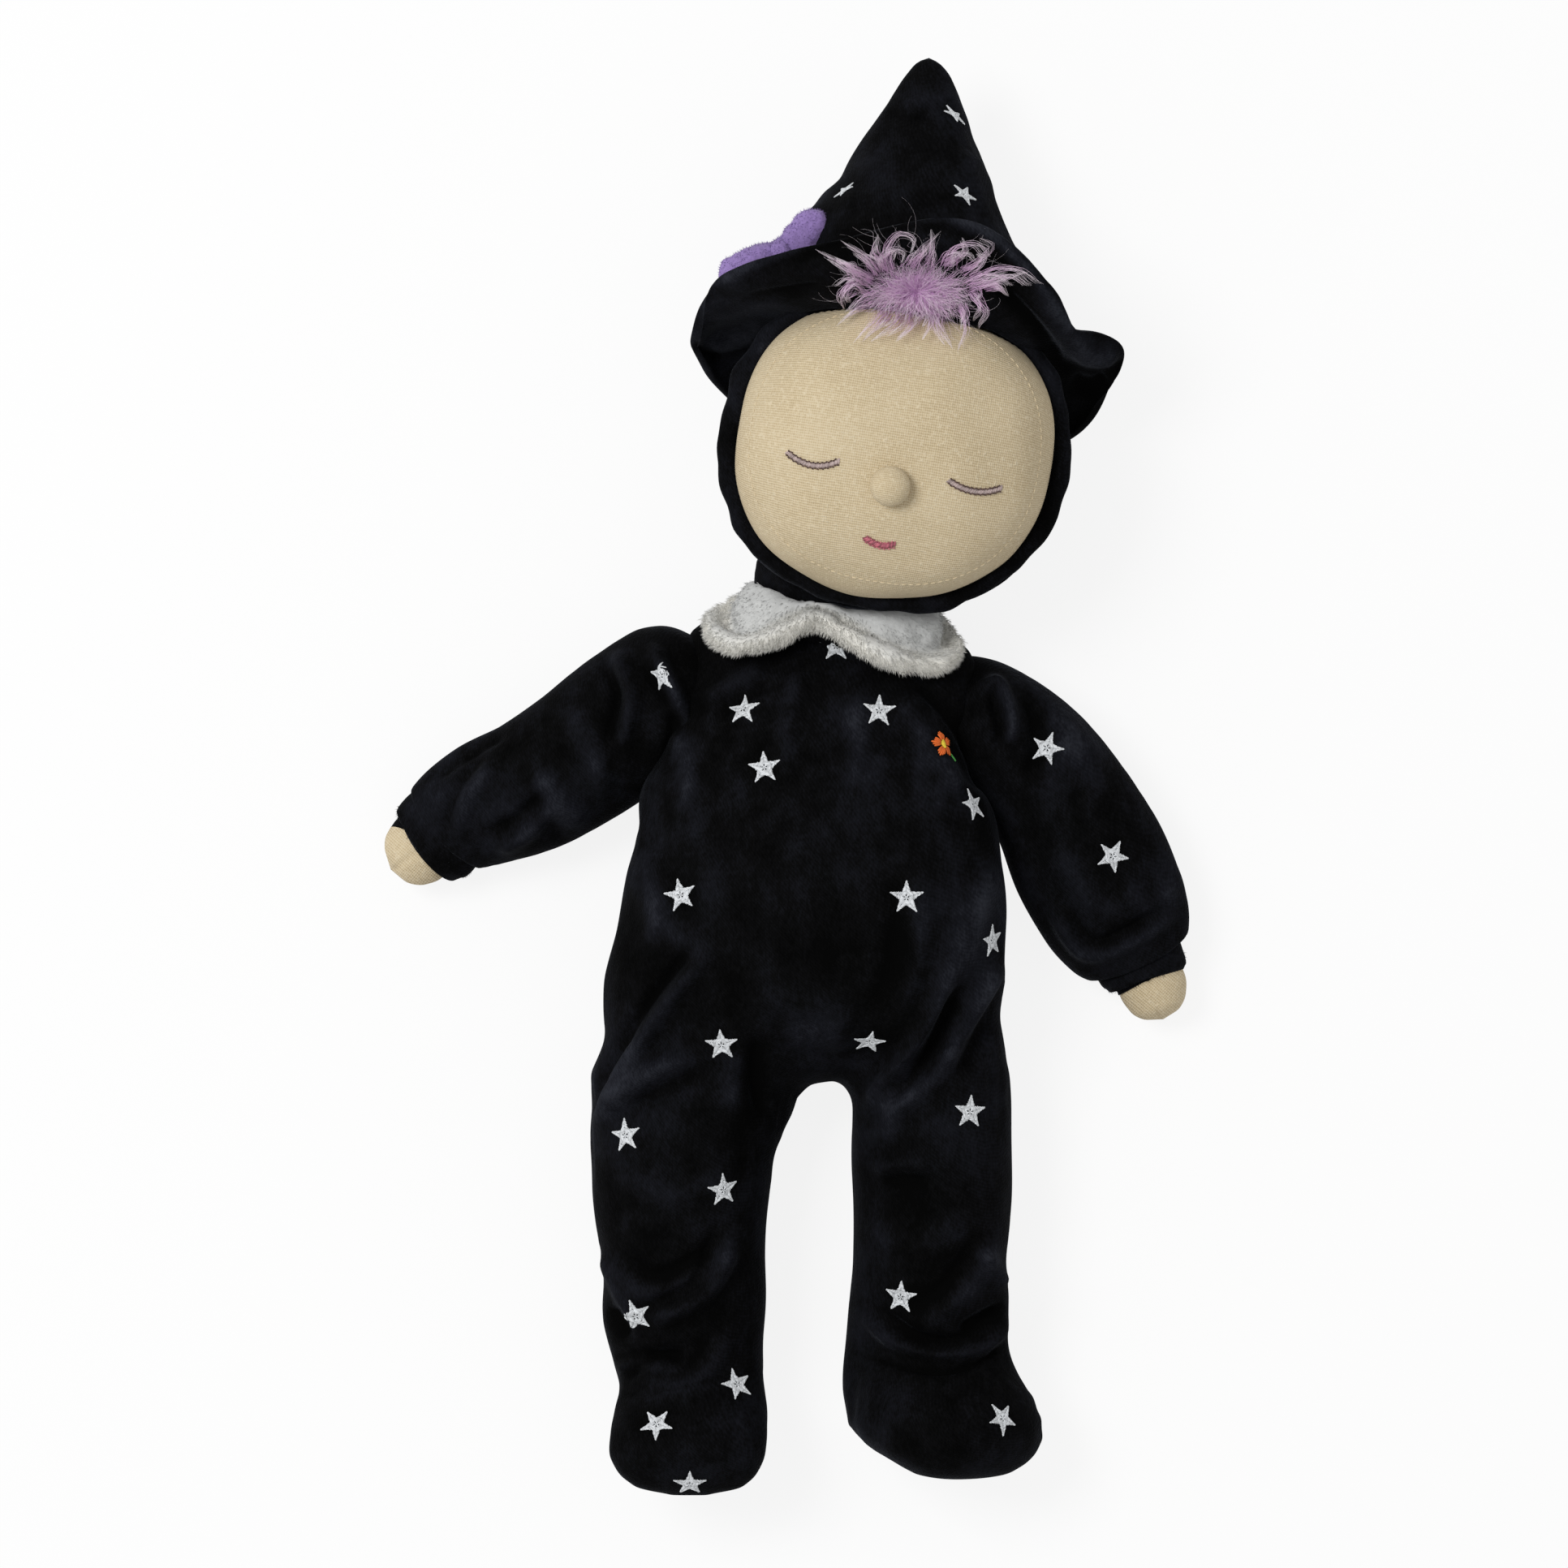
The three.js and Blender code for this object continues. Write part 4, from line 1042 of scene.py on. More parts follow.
roughen(facePanel, (0.3, 30, 23))
for piece in (facePanel, hood, hoodRim):
    grab(piece, head["grabs"])
layFolds(hoodRim, [], head["rimPaintedLight"], 62)
layFlat(facePanel, fromHead([0, cloth["middle"], cloth["ball"][0] - head["middle"][2]]), cloth["ball"][1])
neck = tubeForm("neck_velour", head["neck"], 50, 64)
gathers = head["gathers"]
points = readPoints(neck)
spread = np.arctan2(points[:, 2] - gathers["middle"][1] * mm, points[:, 0] - gathers["middle"][0] * mm)
rise = gathers["rise"] * mm * np.sin(spread * gathers["count"] + ripple(points, 20, 24))
writePoints(neck, points + readNormals(neck) * rise[:, None])
nose = {"pixel": (1097, 598), "radius": 6.0, "sunk": 2.2, "flat": 0.86, "out": 0.72}
nosePlace, noseWay = Skin(facePanel).seen(*nose["pixel"])
bpy.ops.object.select_all(action="DESELECT")
bpy.ops.mesh.primitive_uv_sphere_add(segments=48, ring_count=32, radius=nose["radius"] * mm)
noseBall = bpy.context.object
noseBall.name = noseBall.data.name = "nose_cotton"
points = readPoints(noseBall)
points *= [1.0, 1.0, nose["flat"]]
points += noseWay * (nose["radius"] - nose["sunk"]) * mm * nose["out"] + nosePlace
writePoints(noseBall, points)
layFlat(noseBall, points.mean(0) / mm, nose["radius"])
bpy.ops.object.shade_smooth()
print("head made")

# hat: crown, brim and bow
hat = {
    "seat": 36.0,
    "slope": 0.31,
    "tuck": 2.5,
    "crownOut": 4.0,
    "crown": [
        [37.5, 132, 48, 38.5, 34.5], [37.0, 145, 46, 37.2, 33], [37.1, 157.5, 44, 33.9, 30],
        [39.3, 173.5, 41.5, 25.4, 24], [40.6, 189.4, 39, 18.2, 16.8], [42.3, 201.6, 37.5, 12.1, 11],
        [42.8, 208.5, 37, 8.4, 7.8], [43.2, 212.8, 36.6, 5.8, 5.3], [43.4, 215.6, 36.5, 3.2, 3],
        [43.4, 217, 36.5, 0, 0],
    ],
    "folds": [
        ([(1088, 136), (1120, 146), (1150, 140)], 2.2, -1.4, 0),
        ([(1092, 120), (1130, 128), (1180, 118)], 2.8, 0.8, 0),
        ([(1060, 190), (1100, 240), (1130, 262)], 5.0, 1.2, 0), ([(1200, 190), (1180, 240)], 5.0, 1.0, 0),
    ],
    "brimFolds": [
        (
            [
                (880, 352), (945, 318), (1006, 296), (1070, 276),
                (1130, 266), (1200, 284), (1262, 333), (1312, 400),
            ],
            2.2, 1.7, 1,
        ),
        ([(911, 368), (954, 361), (1017, 352)], 1.6, -1.6, 0),
        ([(867, 421), (898, 416), (948, 397)], 2.0, 1.2, 1),
        ([(850, 420), (872, 428), (890, 436)], 1.6, -1.6, 0),
        ([(1228, 352), (1266, 392), (1300, 432), (1320, 460)], 2.0, -3.2, 0),
        ([(1275, 350), (1300, 388), (1320, 418)], 3.0, 1.2, 0),
        ([(1322, 424), (1345, 438), (1366, 438), (1378, 426)], 2.4, 2.2, 1),
        ([(1322, 462), (1348, 470), (1372, 460)], 2.4, -2.6, 0),
        ([(880, 350), (930, 340), (1000, 316)], 3.0, 0.8, 0),
    ],
    # strokes of painted light and shade: a painted highlight along the upper edge, on the left lobe and on
    # the ear's roll, and painted shadow in the slit under the brim and under the ear
    "brimPaintedLight": [
        (
            [
                (882, 348), (945, 315), (1010, 293), (1070, 273),
                (1130, 263), (1200, 281), (1262, 330), (1316, 400),
            ],
            1.5, 0.34,
        ),
        ([(880, 400), (905, 365), (950, 345)], 8, 0.14), ([(862, 420), (890, 412), (925, 405)], 8, 0.3),
        ([(1228, 352), (1266, 392), (1300, 432), (1320, 460)], 2.4, -0.5),
        ([(1328, 420), (1350, 432), (1372, 426)], 3, 0.2),
        ([(1330, 470), (1355, 480), (1345, 510)], 6, -0.3),
    ],
    "brimOut": 3.8,
    "thick": 3.2,
    "knee": 0.3,
    "flutes": [
        (0, 13, 28), (31, 17, 25.5), (50, 20.2, 15), (64, 18.6, 6.5), (75, 21, 8.8), (83.5, 23.8, 9),
        (94, 23.4, 4), (104, 20.6, -2.4), (119, 18.4, -12), (140, 12, -18), (180, 7, -24), (220, 12, -22),
        (240, 17.5, -18), (257, 22.2, -13), (275, 27.8, -8), (291, 29.8, 5), (305, 24.5, 11), (325, 19, 18),
    ],
}


def hatEdge(turn, out):
    # where the hat meets the head, at a turn from the front
    way = unit(np.stack([np.sin(turn), hat["slope"] * np.cos(turn), np.cos(turn)], -1))
    seat = np.array([0, hat["seat"], 0])
    a, b, c = ((k / np.array(head["oval"])) for k in (way, seat, seat))
    one, two = (a * a).sum(-1), (a * b).sum(-1)
    three = (b * c).sum(-1) - 1
    reach = (-two + np.sqrt(two * two - one * three)) / one
    return seat + way * (reach + out)[..., None]


def tuckUnder(piece):
    # under the hat the face keeps to the head's oval, inside the foot of the crown
    local = toHead(readPoints(piece) / mm)
    above = local[:, 1] - hat["seat"] - hat["slope"] * local[:, 2]
    share = np.clip(1 + above / hat["tuck"], 0, 1)[:, None]
    far = np.linalg.norm(local / head["oval"], axis=1, keepdims=True)
    writePoints(piece, fromHead(local * (1 - share + share / np.maximum(far, 1))) * mm)


tuckUnder(facePanel)
turn = np.linspace(0, 2 * np.pi, 121)
turn[-1] = 0
foot = fromHead(hatEdge(turn, hat["crownOut"]))
line = alongKeys(hat["crown"], 84)
way = unit(np.gradient(line[:, :3], axis=0))
side = unit(np.cross(way, [0, 0, 1]))
up = np.cross(side, way)
points = (
    line[:, None, :3]
    + side[:, None] * (line[:, 3:4] * np.sin(turn))[..., None]
    + up[:, None] * (line[:, 4:5] * np.cos(turn))[..., None]
)
free = np.clip(np.arange(84) / 26, 0, 1)
free = (free * free * (3 - 2 * free))[:, None, None]
hatCrown = gridForm("crown_velour", foot * (1 - free) + points * free)
roughen(hatCrown, (0.5, 40, 31), (0.2, 13, 32))
layFolds(hatCrown, hat["folds"])

turns = np.linspace(0, 360, 217)
turn = np.radians(turns)
root = hatEdge(turn, hat["brimOut"])
reach = aroundKeys(hat["flutes"], np.minimum(turns, 359.999))
end = root + np.stack([np.sin(turn) * reach[:, 0], reach[:, 1], np.cos(turn) * reach[:, 0]], -1)
knee = np.stack([end[:, 0], root[:, 1] * (1 - hat["knee"]) + end[:, 1] * hat["knee"], end[:, 2]], -1)
share = np.linspace(0, 1, 18)[:, None, None]
points = root * (1 - share) ** 2 + knee * 2 * share * (1 - share) + end * share**2
points[:, -1] = points[:, 0]
points = fromHead(points)
points[..., 2] = np.maximum(points[..., 2], hat["thick"])
hatBrim = gridForm("brim_velour", points)
roughen(hatBrim, (0.5, 26, 33))
useModifier(hatBrim, "SMOOTH", factor=0.5, iterations=6)
useModifier(hatBrim, "SOLIDIFY", thickness=hat["thick"] * mm, offset=0)
useModifier(hatBrim, "SUBSURF", levels=1, render_levels=1)
useModifier(hatBrim, "SMOOTH", factor=0.5, iterations=4)
layFolds(hatBrim, hat["brimFolds"], hat["brimPaintedLight"], 78)

bow = {
    "left": [
        [-2, 156.2, 58, 0, 0], [-3.5, 156, 58, 4.2, 4.2], [-8, 155, 58, 5.0, 5.6],
        [-12.6, 152.8, 57.5, 4.5, 5.6], [-17, 150.6, 57, 4.6, 4.7], [-20.2, 149.2, 57, 0, 0],
    ],
    "right": [
        [-1, 157, 58, 0, 0], [0.8, 158.2, 58, 4.4, 4.2], [4.4, 161.2, 58, 5.8, 5.4],
        [7.6, 164.6, 58, 5.8, 5.6], [10, 168, 57.5, 4.2, 4.4], [11.4, 170, 57.5, 0, 0],
    ],
    "knot": [
        [-5, 156.8, 57.5, 0, 0], [-4.5, 156.8, 57.5, 3.4, 4], [-1.5, 156.6, 58, 5.2, 5.8],
        [1.6, 156.6, 57.5, 3.6, 4], [2.2, 156.8, 57.5, 0, 0],
    ],
    "ribPitch": 3.1,
    "fuzz": {"count": 900, "size": (0.6, 1.3), "thick": 0.1},
}
bows = {}
for name in ("left", "right", "knot"):
    bows[name] = tubeForm("bow_plush_" + name, bow[name], 40, 40)
    points = readPoints(bows[name])
    rib = np.sin((points[:, 0] * 0.8 + points[:, 1] * 0.4) / mm * 2 * np.pi / bow["ribPitch"])
    rise = 0.2 * mm * ripple(points, 9, 36) + 0.12 * mm * rib
    writePoints(bows[name], points + readNormals(bows[name]) * rise[:, None])
    growFuzz(
        bows[name], **bow["fuzz"], seed=37,
        lean=lambda root: root * 0 + [0, 0, 0.3],
        where=lambda places, normals: normals[:, 2] > -0.3,
    )
print("hat made")

# collar: two lobes with a fluffy rolled lip, from the front notch round to the back
collar = {
    "left": {
        "outer": [
            (8.8, 43.2, 51), (1.5, 39.8, 52.5), (-8.6, 35.2, 51.5), (-16, 35, 49), (-21.2, 37.6, 45),
            (-21.8, 41.6, 38), (-18, 45.4, 28.5), (-11.4, 49.2, 17), (-2, 53, 9.5), (8, 53.8, 6.4),
            (17.5, 54, 5.6),
        ],
        "inner": [
            (9, 50, 47.5), (4.5, 52, 47.5), (-1, 54.5, 45.5), (-5, 55.8, 42), (-7.2, 56.4, 37),
            (-7.6, 56.8, 31), (-6.2, 57.4, 24), (-3, 58, 18), (2, 59, 14.5), (10, 58.5, 12.8),
            (17.5, 58.5, 12.4),
        ],
    },
    "right": {
        "outer": [
            (8.8, 43.2, 51), (15.5, 40.2, 53), (25.5, 34, 54), (36.5, 30.2, 53), (44, 29.4, 50),
            (50.2, 31.6, 43.5), (50.2, 35.6, 35), (46.4, 40.2, 25.5), (40.4, 45, 16), (34, 51, 9.6),
            (26, 53.4, 6.6), (17.5, 54, 5.6),
        ],
        "inner": [
            (9, 50, 47.5), (15, 50, 49), (24, 50, 49.5), (32, 50.2, 48.4), (37.8, 49.8, 45.4),
            (41.2, 49.4, 38.5), (41.4, 50.4, 31), (39.6, 52.8, 24), (36, 55.4, 18), (31.5, 58.5, 14.6),
            (24.5, 58.5, 12.8), (17.5, 58.5, 12.4),
        ],
    },
    # share of the flat part or mm in from the edge, then height in mm
    "flat": [(0.0, 0.6), (0.04, 2.2), (0.3, 3.8), (0.6, 3.6), (0.85, 1.8), (0.97, 0.6)],
    "roll": [
        (6.6, 1.8), (5.7, 4.3), (3.7, 6.0), (1.5, 5.3), (0.1, 3.2), (-0.1, 1.4), (0.8, -0.4), (2.8, -1.2),
    ],
    "under": [(0.6, -1.4), (0.1, -1.4), (0.0, 0.6)],
    "rollWide": 7.1,
    "reach": 8.5,  # mm from the edge to the end of the roll's longer pile
    "fade": 3,
    "middle": (17.5, 45, 26),
    # where it would follow the body, before the first place, and the neck, beyond the second; nothing reads
    # these places
    "bend": ((17.5, 40, 36), (17.5, 56, 36)),
    "fuzz": {"count": 6800, "size": (1.0, 2.4), "thick": 0.12},
    "nap": {"count": 3800, "size": (0.7, 1.3), "thick": 0.1},
}
collars = {}
for hand in ("left", "right"):
    shape = collar[hand]
    outer, inner = (smoothLine(shape[k], 80) for k in ("outer", "inner"))
    way, across = unit(np.gradient(outer, axis=0)), outer - inner
    wide = np.linalg.norm(across, axis=1, keepdims=True)
    across = across / wide
    lift = unit(np.cross(way, across))
    lift *= np.sign((lift * ((outer + inner) / 2 - np.array(collar["middle"]))).sum(1, keepdims=True))
    small = np.minimum(1, wide / (collar["rollWide"] + 2))
    lip = outer - across * collar["rollWide"] * small
    rows = [inner + (lip - inner) * share + lift * rise for share, rise in collar["flat"]]
    rows += [outer - across * deep * small + lift * rise for deep, rise in collar["roll"]]
    rows += [inner + (lip - inner) * share + lift * rise for share, rise in collar["under"]]
    points = np.stack(rows, 1)
    ends = [points[k : k + 1] * 0 + points[k].mean(0) for k in (0, len(points) - 1)]
    lobe = gridForm("collar_plush_" + hand, np.concatenate([ends[0], points, ends[1]]))
    useModifier(lobe, "SUBSURF", levels=2, render_levels=2)
    roughen(lobe, (0.2, 7, 41), (0.5, 22, 42))
    edge = outer * mm
    heart = (np.array(collar["middle"]) + [0, 6, 10]) * mm

    def onRoll(places):
        near = np.array([np.linalg.norm(edge - place, axis=1).min() for place in places])
        return np.clip((collar["reach"] * mm - near) / (collar["fade"] * mm), 0.06, 1)

    growFuzz(
        lobe, **collar["fuzz"], seed=43,
        lean=lambda root: unit((root - heart) * [1, 1, 0.2] + [0, -0.012, 0]),
        where=lambda places, normals: onRoll(places) * (normals[:, 2] > -0.5),
    )
    growFuzz(
        lobe, **collar["nap"], seed=45,
        lean=lambda root: unit((root - heart) * [1, 1, 0.1] + [0, -0.02, 0]) * 2.8,
        where=lambda places, normals: (1 - onRoll(places)) * (normals[:, 2] > 0),
    )
    keep(lobe, "rolled", onRoll(readPoints(lobe)))
    collars[hand] = lobe
print("collar made")

# hair: locks that end in points, over a dense core of fluff
hair = {
    "locks": [
        [(1075, 345), (1038, 326), (1003, 306)], [(1082, 335), (1060, 310), (1036, 296)],
        [(1098, 332), (1094, 300), (1110, 282), (1130, 290), (1126, 308)],
        [(1122, 328), (1142, 302), (1160, 284)], [(1142, 322), (1150, 300), (1147, 282)],
        [(1165, 326), (1180, 302), (1206, 298), (1222, 316)],
        [(1185, 335), (1212, 318), (1224, 300), (1208, 292)],
        [(1198, 346), (1236, 330), (1262, 332), (1288, 350)], [(1195, 356), (1236, 344), (1270, 334)],
        [(1062, 352), (1040, 342), (1024, 352)], [(1078, 370), (1052, 384), (1030, 402)],
        [(1092, 384), (1068, 404), (1050, 424)], [(1112, 388), (1094, 408), (1072, 422)],
        [(1160, 386), (1160, 410), (1174, 430)], [(1184, 380), (1192, 404), (1180, 434)],
        [(1204, 366), (1216, 384), (1206, 406)], [(1050, 346), (1036, 362), (1040, 382)],
        [(1090, 322), (1076, 300), (1082, 288)], [(1208, 350), (1232, 352), (1246, 366)],
        [(1130, 388), (1124, 404), (1106, 420)], [(1145, 388), (1146, 402), (1136, 420)],
        [(1172, 322), (1190, 306), (1186, 292)], [(1056, 338), (1044, 322), (1030, 320)],
    ],
    "copies": 3,
    "shorter": (0.4, 0.85),
    "strands": 12,
    "girth": (0.04, 0.095),
    "spread": (1.5, 0.12),  # mm at the root and the tip of a lock
    "core": {"middle": (1130, 360), "wide": 14.5, "tall": 8.0, "rise": 3.6, "strands": 1800, "size": (4, 11)},
    "curls": {"count": 70, "size": (9, 21), "loop": (0.8, 2.8), "turns": (0.5, 1.6), "girth": 0.5},
    "seed": 5,
}


hairSkin = Skin(hatBrim, facePanel, hoodRim)


def lifted(px, py, rise):
    # a place above what lies under a pixel, in mm
    hit = hairSkin.seen(px, py)
    return fromPhoto(px, py, (hit[0][2] / mm if hit else 84) + rise) / mm


def fromCore(spin, far):
    # a pixel of the core, at a turn and a share of its radius
    core = hair["core"]
    off = np.array([math.cos(spin) * core["wide"], -math.sin(spin) * core["tall"]])
    return np.array(core["middle"]) + off * far * mm / sight["pixel"]


def lockStrands(draw):
    # locks, drawn in to a point; each strand is its path, its tone and its share of the girth
    strands = []
    t = np.linspace(0, 1, 14)
    for k, pixels in enumerate(hair["locks"] * hair["copies"]):
        pixels = np.array(pixels, float)
        if k >= len(hair["locks"]):
            pixels = pixels[0] + (pixels - pixels[0]) * draw.uniform(*hair["shorter"]) + draw.normal(0, 5, 2)
        rises = np.interp(np.linspace(0, 1, len(pixels)), [0, 0.45, 1], [1.5, 6.5, 4.5])
        guide = np.array([lifted(*pixel, rise) for pixel, rise in zip(pixels, rises)])
        guide = smoothLine(guide, len(t))
        run = unit(np.gradient(guide, axis=0))
        side = unit(np.cross(run, [0, 0, 1]))
        up = np.cross(side, run)
        for _ in range(hair["strands"]):
            spin, far = draw.uniform(0, 2 * np.pi), math.sqrt(draw.uniform(0, 1))
            off = far * (hair["spread"][0] * (1 - t) ** 0.9 + hair["spread"][1])
            wave = 1.7 * t * (1 - t) * np.sin(t * draw.uniform(4, 10) + draw.uniform(0, 6))
            path = guide + side * (off * math.cos(spin) + wave)[:, None]
            path = path + up * (off * math.sin(spin) + wave)[:, None]
            path = path[0] + (path - path[0]) * draw.uniform(0.8, 1.0)
            strands.append((path, draw.uniform(0.2, 1), 1))
    return strands


def coreStrands(draw):
    # dense short pile in the middle
    strands = []
    core = hair["core"]
    t = np.linspace(0, 1, 8)
    for _ in range(core["strands"]):
        spin, far = draw.uniform(0, 2 * np.pi), draw.uniform(0, 1) ** 0.7
        root = lifted(*fromCore(spin, far * 0.82), core["rise"] * (1 - far**2) - 0.6)
        lean = spin + draw.normal(0, 0.55)
        way = unit([math.cos(lean), math.sin(lean), 0.34 + draw.normal(0, 0.25)])
        size = draw.uniform(*core["size"]) * (1 - 0.35 * abs(math.sin(lean)))
        side = unit(np.cross(way, draw.normal(size=3)))
        sway = np.sin(t * draw.uniform(1.5, 4.5)) * size * 0.22
        path = root + np.outer(t * size, way) + np.outer(sway, side)
        path[:, 2] -= t**2 * size * 0.3 * far
        strands.append((path, draw.uniform(-0.6, 1.0), 1))
    return strands


def curlStrands(draw):
    # loose single curls
    strands = []
    curl = hair["curls"]
    t = np.linspace(0, 1, 34)
    for _ in range(curl["count"]):
        spin = draw.uniform(0, 2 * np.pi)
        root = lifted(*fromCore(spin, 0.8), 2.0)
        way = unit(np.array([math.cos(spin), math.sin(spin), 0.25]) + draw.normal(0, 0.2, 3))
        side = unit(np.cross([0, 0, 1], way)) * draw.choice([-1, 1])
        loop = draw.uniform(*curl["loop"]) * np.clip(t * 1.6, 0, 1)
        turn = t * 2 * np.pi * draw.uniform(*curl["turns"])
        path = root + np.outer(t * draw.uniform(*curl["size"]), way) + np.outer(loop * np.sin(turn), way)
        path = path + np.outer(loop * (1 - np.cos(turn)), side)
        path[:, 2] = root[2] + 3.5 * np.sin(t * 2.2)
        strands.append((path, 0.9, curl["girth"]))
    return strands


def hairPad(start):
    # the pad that the pile stands on: its points, and its faces from a first number
    spins = 28
    middle, rise = hair["core"]["middle"], hair["core"]["rise"] * 0.7
    rings = [(far, rise * math.sqrt(1 - far * far)) for far in (0.35, 0.6, 0.8, 0.93, 1.0)] + [(1.0, -1.2)]
    points, faces = [], []
    for far, height in rings:
        for k in range(spins):
            points.append(lifted(*fromCore(2 * np.pi * k / spins, far * 0.68), height - 0.6))
    points.extend([lifted(*middle, rise - 0.6), lifted(*middle, -1.8)])
    top = start + len(rings) * spins
    last = top - spins
    for k in range(spins):
        n = (k + 1) % spins
        for a in range(start, last, spins):
            faces.append((a + k, a + spins + k, a + spins + n, a + n))
        faces.append((top, start + k, start + n))
        faces.append((top + 1, last + n, last + k))
    return points, faces


def growHair(name):
    draw = np.random.default_rng(hair["seed"])
    strands = lockStrands(draw) + coreStrands(draw) + curlStrands(draw)
    points, faces, along, shade = [], [], [], []
    for path, tone, share in strands:
        steps, base = len(path), len(points)
        t = np.linspace(0, 1, steps)
        run = unit(np.gradient(path, axis=0))
        first = unit(np.cross(run, [0.31, 0.22, 0.92]))
        second = np.cross(run, first)
        girth = draw.uniform(*hair["girth"]) * (1 - t * 0.75) * share
        for j in range(3):
            turn = 2 * np.pi * j / 3
            flank = path + first * (girth * math.cos(turn))[:, None]
            points.extend(flank + second * (girth * math.sin(turn))[:, None])
            along.extend(t)
            shade.extend([tone] * steps)
        for i in range(steps - 1):
            for j in range(3):
                a, b = base + j * steps + i, base + (j + 1) % 3 * steps + i
                faces.append((a, b, b + 1, a + 1))
        faces.append([base + j * steps for j in (2, 1, 0)])
        faces.append([base + j * steps + steps - 1 for j in range(3)])
    padPoints, padFaces = hairPad(len(points))
    along.extend([0.1] * len(padPoints))
    shade.extend([0.2] * len(padPoints))
    piece = meshForm(name, [tuple(p * mm) for p in points + padPoints], faces + padFaces)
    keep(piece, "along", along)
    keep(piece, "shade", shade)
    return closeForm(piece)


hairTuft = growHair("hair_curls")
faceMiddle = fromHead([0, cloth["middle"], 0]) * mm
growFuzz(
    hoodRim, **head["fuzz"], seed=44,
    lean=lambda root: unit((faceMiddle - root) * [1, 1, 0] + [0, 0, 0.006]),
    where=lambda places, normals: np.clip(
        (unit(faceMiddle - places) * normals).sum(1) + normals[:, 2] * 0.4, 0, 1
    ),
)
print("hair grown")

# stitches: eyes, mouth, seam round the face
features = {
    "eyes": [((970, 557), (1010, 574), (1034, 568)), ((1169, 592), (1208, 606), (1234, 601))],
    "eyeWide": 1.75,
    "mouth": ((1066, 662), (1088, 672), (1103, 670)),
    "mouthWide": 2.0,
    "thread": 0.42,
    "seamIn": 3.0,
    "seamWide": 0.5,
    "dashes": 120,
}
faceSkin = Skin(facePanel)


def arcPixels(first, low, last, count):
    first, low, last = (np.array(p, float) for p in (first, low, last))
    t = np.linspace(0, 1, count)[:, None]
    share = np.linalg.norm(low - first) / (np.linalg.norm(low - first) + np.linalg.norm(last - low))
    knee = (low - first * (1 - share) ** 2 - last * share**2) / (2 * share * (1 - share))
    return first * (1 - t) ** 2 + knee * 2 * t * (1 - t) + last * t**2


def satinArc(pixels, wide, thread, slant, seed):
    # stitches laid side by side across a line of pixels
    draw = np.random.default_rng(seed)
    fill, edge = [], []
    places = [faceSkin.seen(*p) for p in pixels]
    centre = np.array([p[0] for p in places])
    normal = np.array([p[1] for p in places])
    way = unit(np.gradient(centre, axis=0))
    side = np.cross(normal, way)
    for k in range(len(centre)):
        reach = wide / 2 * draw.uniform(0.85, 1.1)
        lean = way[k] * slant * wide / 2
        a = centre[k] - side[k] * reach - lean
        b = centre[k] + side[k] * reach + lean
        fill.append((a, b, normal[k], thread, 0.25 * mm, draw.uniform(0, 1)))
    for flank in (-1, 1):
        for k in range(0, len(centre) - 2, 2):
            a = centre[k] + side[k] * wide * 0.46 * flank + normal[k] * 0.15 * mm
            b = centre[k + 2] + side[k + 2] * wide * (0.62 if k % 4 else 0.4) * flank + normal[k] * 0.15 * mm
            edge.append((a, b, normal[k], thread * 1.15, 0.3 * mm, draw.uniform(0, 1)))
    return fill, edge


thread = features["thread"] * mm
lidThreads, lashThreads = [], []
for k, marks in enumerate(features["eyes"]):
    fill, edge = satinArc(arcPixels(*marks, 46), features["eyeWide"] * mm, thread, 0.5, 50 + k)
    lidThreads += fill
    lashThreads += edge
lids = sew("eye_stitches", lidThreads, lidThread)
lashes = sew("eye_outlines", lashThreads, lashThread)
fill, edge = satinArc(arcPixels(*features["mouth"], 30), features["mouthWide"] * mm, thread, 0.4, 60)
lips = sew("mouth_stitches", fill + edge, lipThread)
turn = np.linspace(0, 2 * np.pi, features["dashes"] + 1)[:-1]
ring = softSquare(turn, cloth["wide"] - features["seamIn"], cloth["tall"] - features["seamIn"])
wide = features["seamWide"] * mm
dashes = []
for k in range(len(ring)):
    pair = []
    for place in (ring[k], ring[k] * 0.3 + ring[(k + 1) % len(ring)] * 0.7):
        spot = fromHead([place[0], place[1] + cloth["middle"], 0]) * mm
        pair.append(faceSkin.under((spot[0], spot[1], 0.075), (0, 0, 1), 40 * mm))
    dashes.append((pair[0][0], pair[1][0], pair[0][1], wide, 0.1 * mm, (k * 7 % 10) / 10))
faceSeam = sew("face_seam", dashes, seamThread)
print("face sewn")

# how each part of the suit follows its joints
legCut = {
    "left": {"way": (-0.54, -0.84, 0), "lift": (72, 107), "splay": (107, 131)},
    "right": {"way": (0.54, -0.84, 0), "lift": (86, 116), "splay": (116, 140)},
}
armCut = {
    "left": {"way": (-0.875, -0.485, 0), "pivot": (-36.58, 18.73, 20), "swing": (-16, 12), "lift": (12, 40)},
    "right": {"way": (0.656, -0.755, 0), "pivot": (64.32, 10.96, 20), "swing": (-16, 12), "lift": (12, 40)},
}
midline, hipTop, ankle = 12.5, -20, -176
follow = {"torso": ("torso",)}


def station(way, size, level=26):
    return tuple(np.array([*(unit(way) * size)[:2], level]) * mm)


def everywhere(places):
    return np.full(len(places), True)


def carry(piece, part):
    # rides one body; a piece between two bodies only has its place baked into its points
    how = follow[part]
    if len(how) == 1:
        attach(piece, how[0])
    else:
        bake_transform(piece)
    return piece


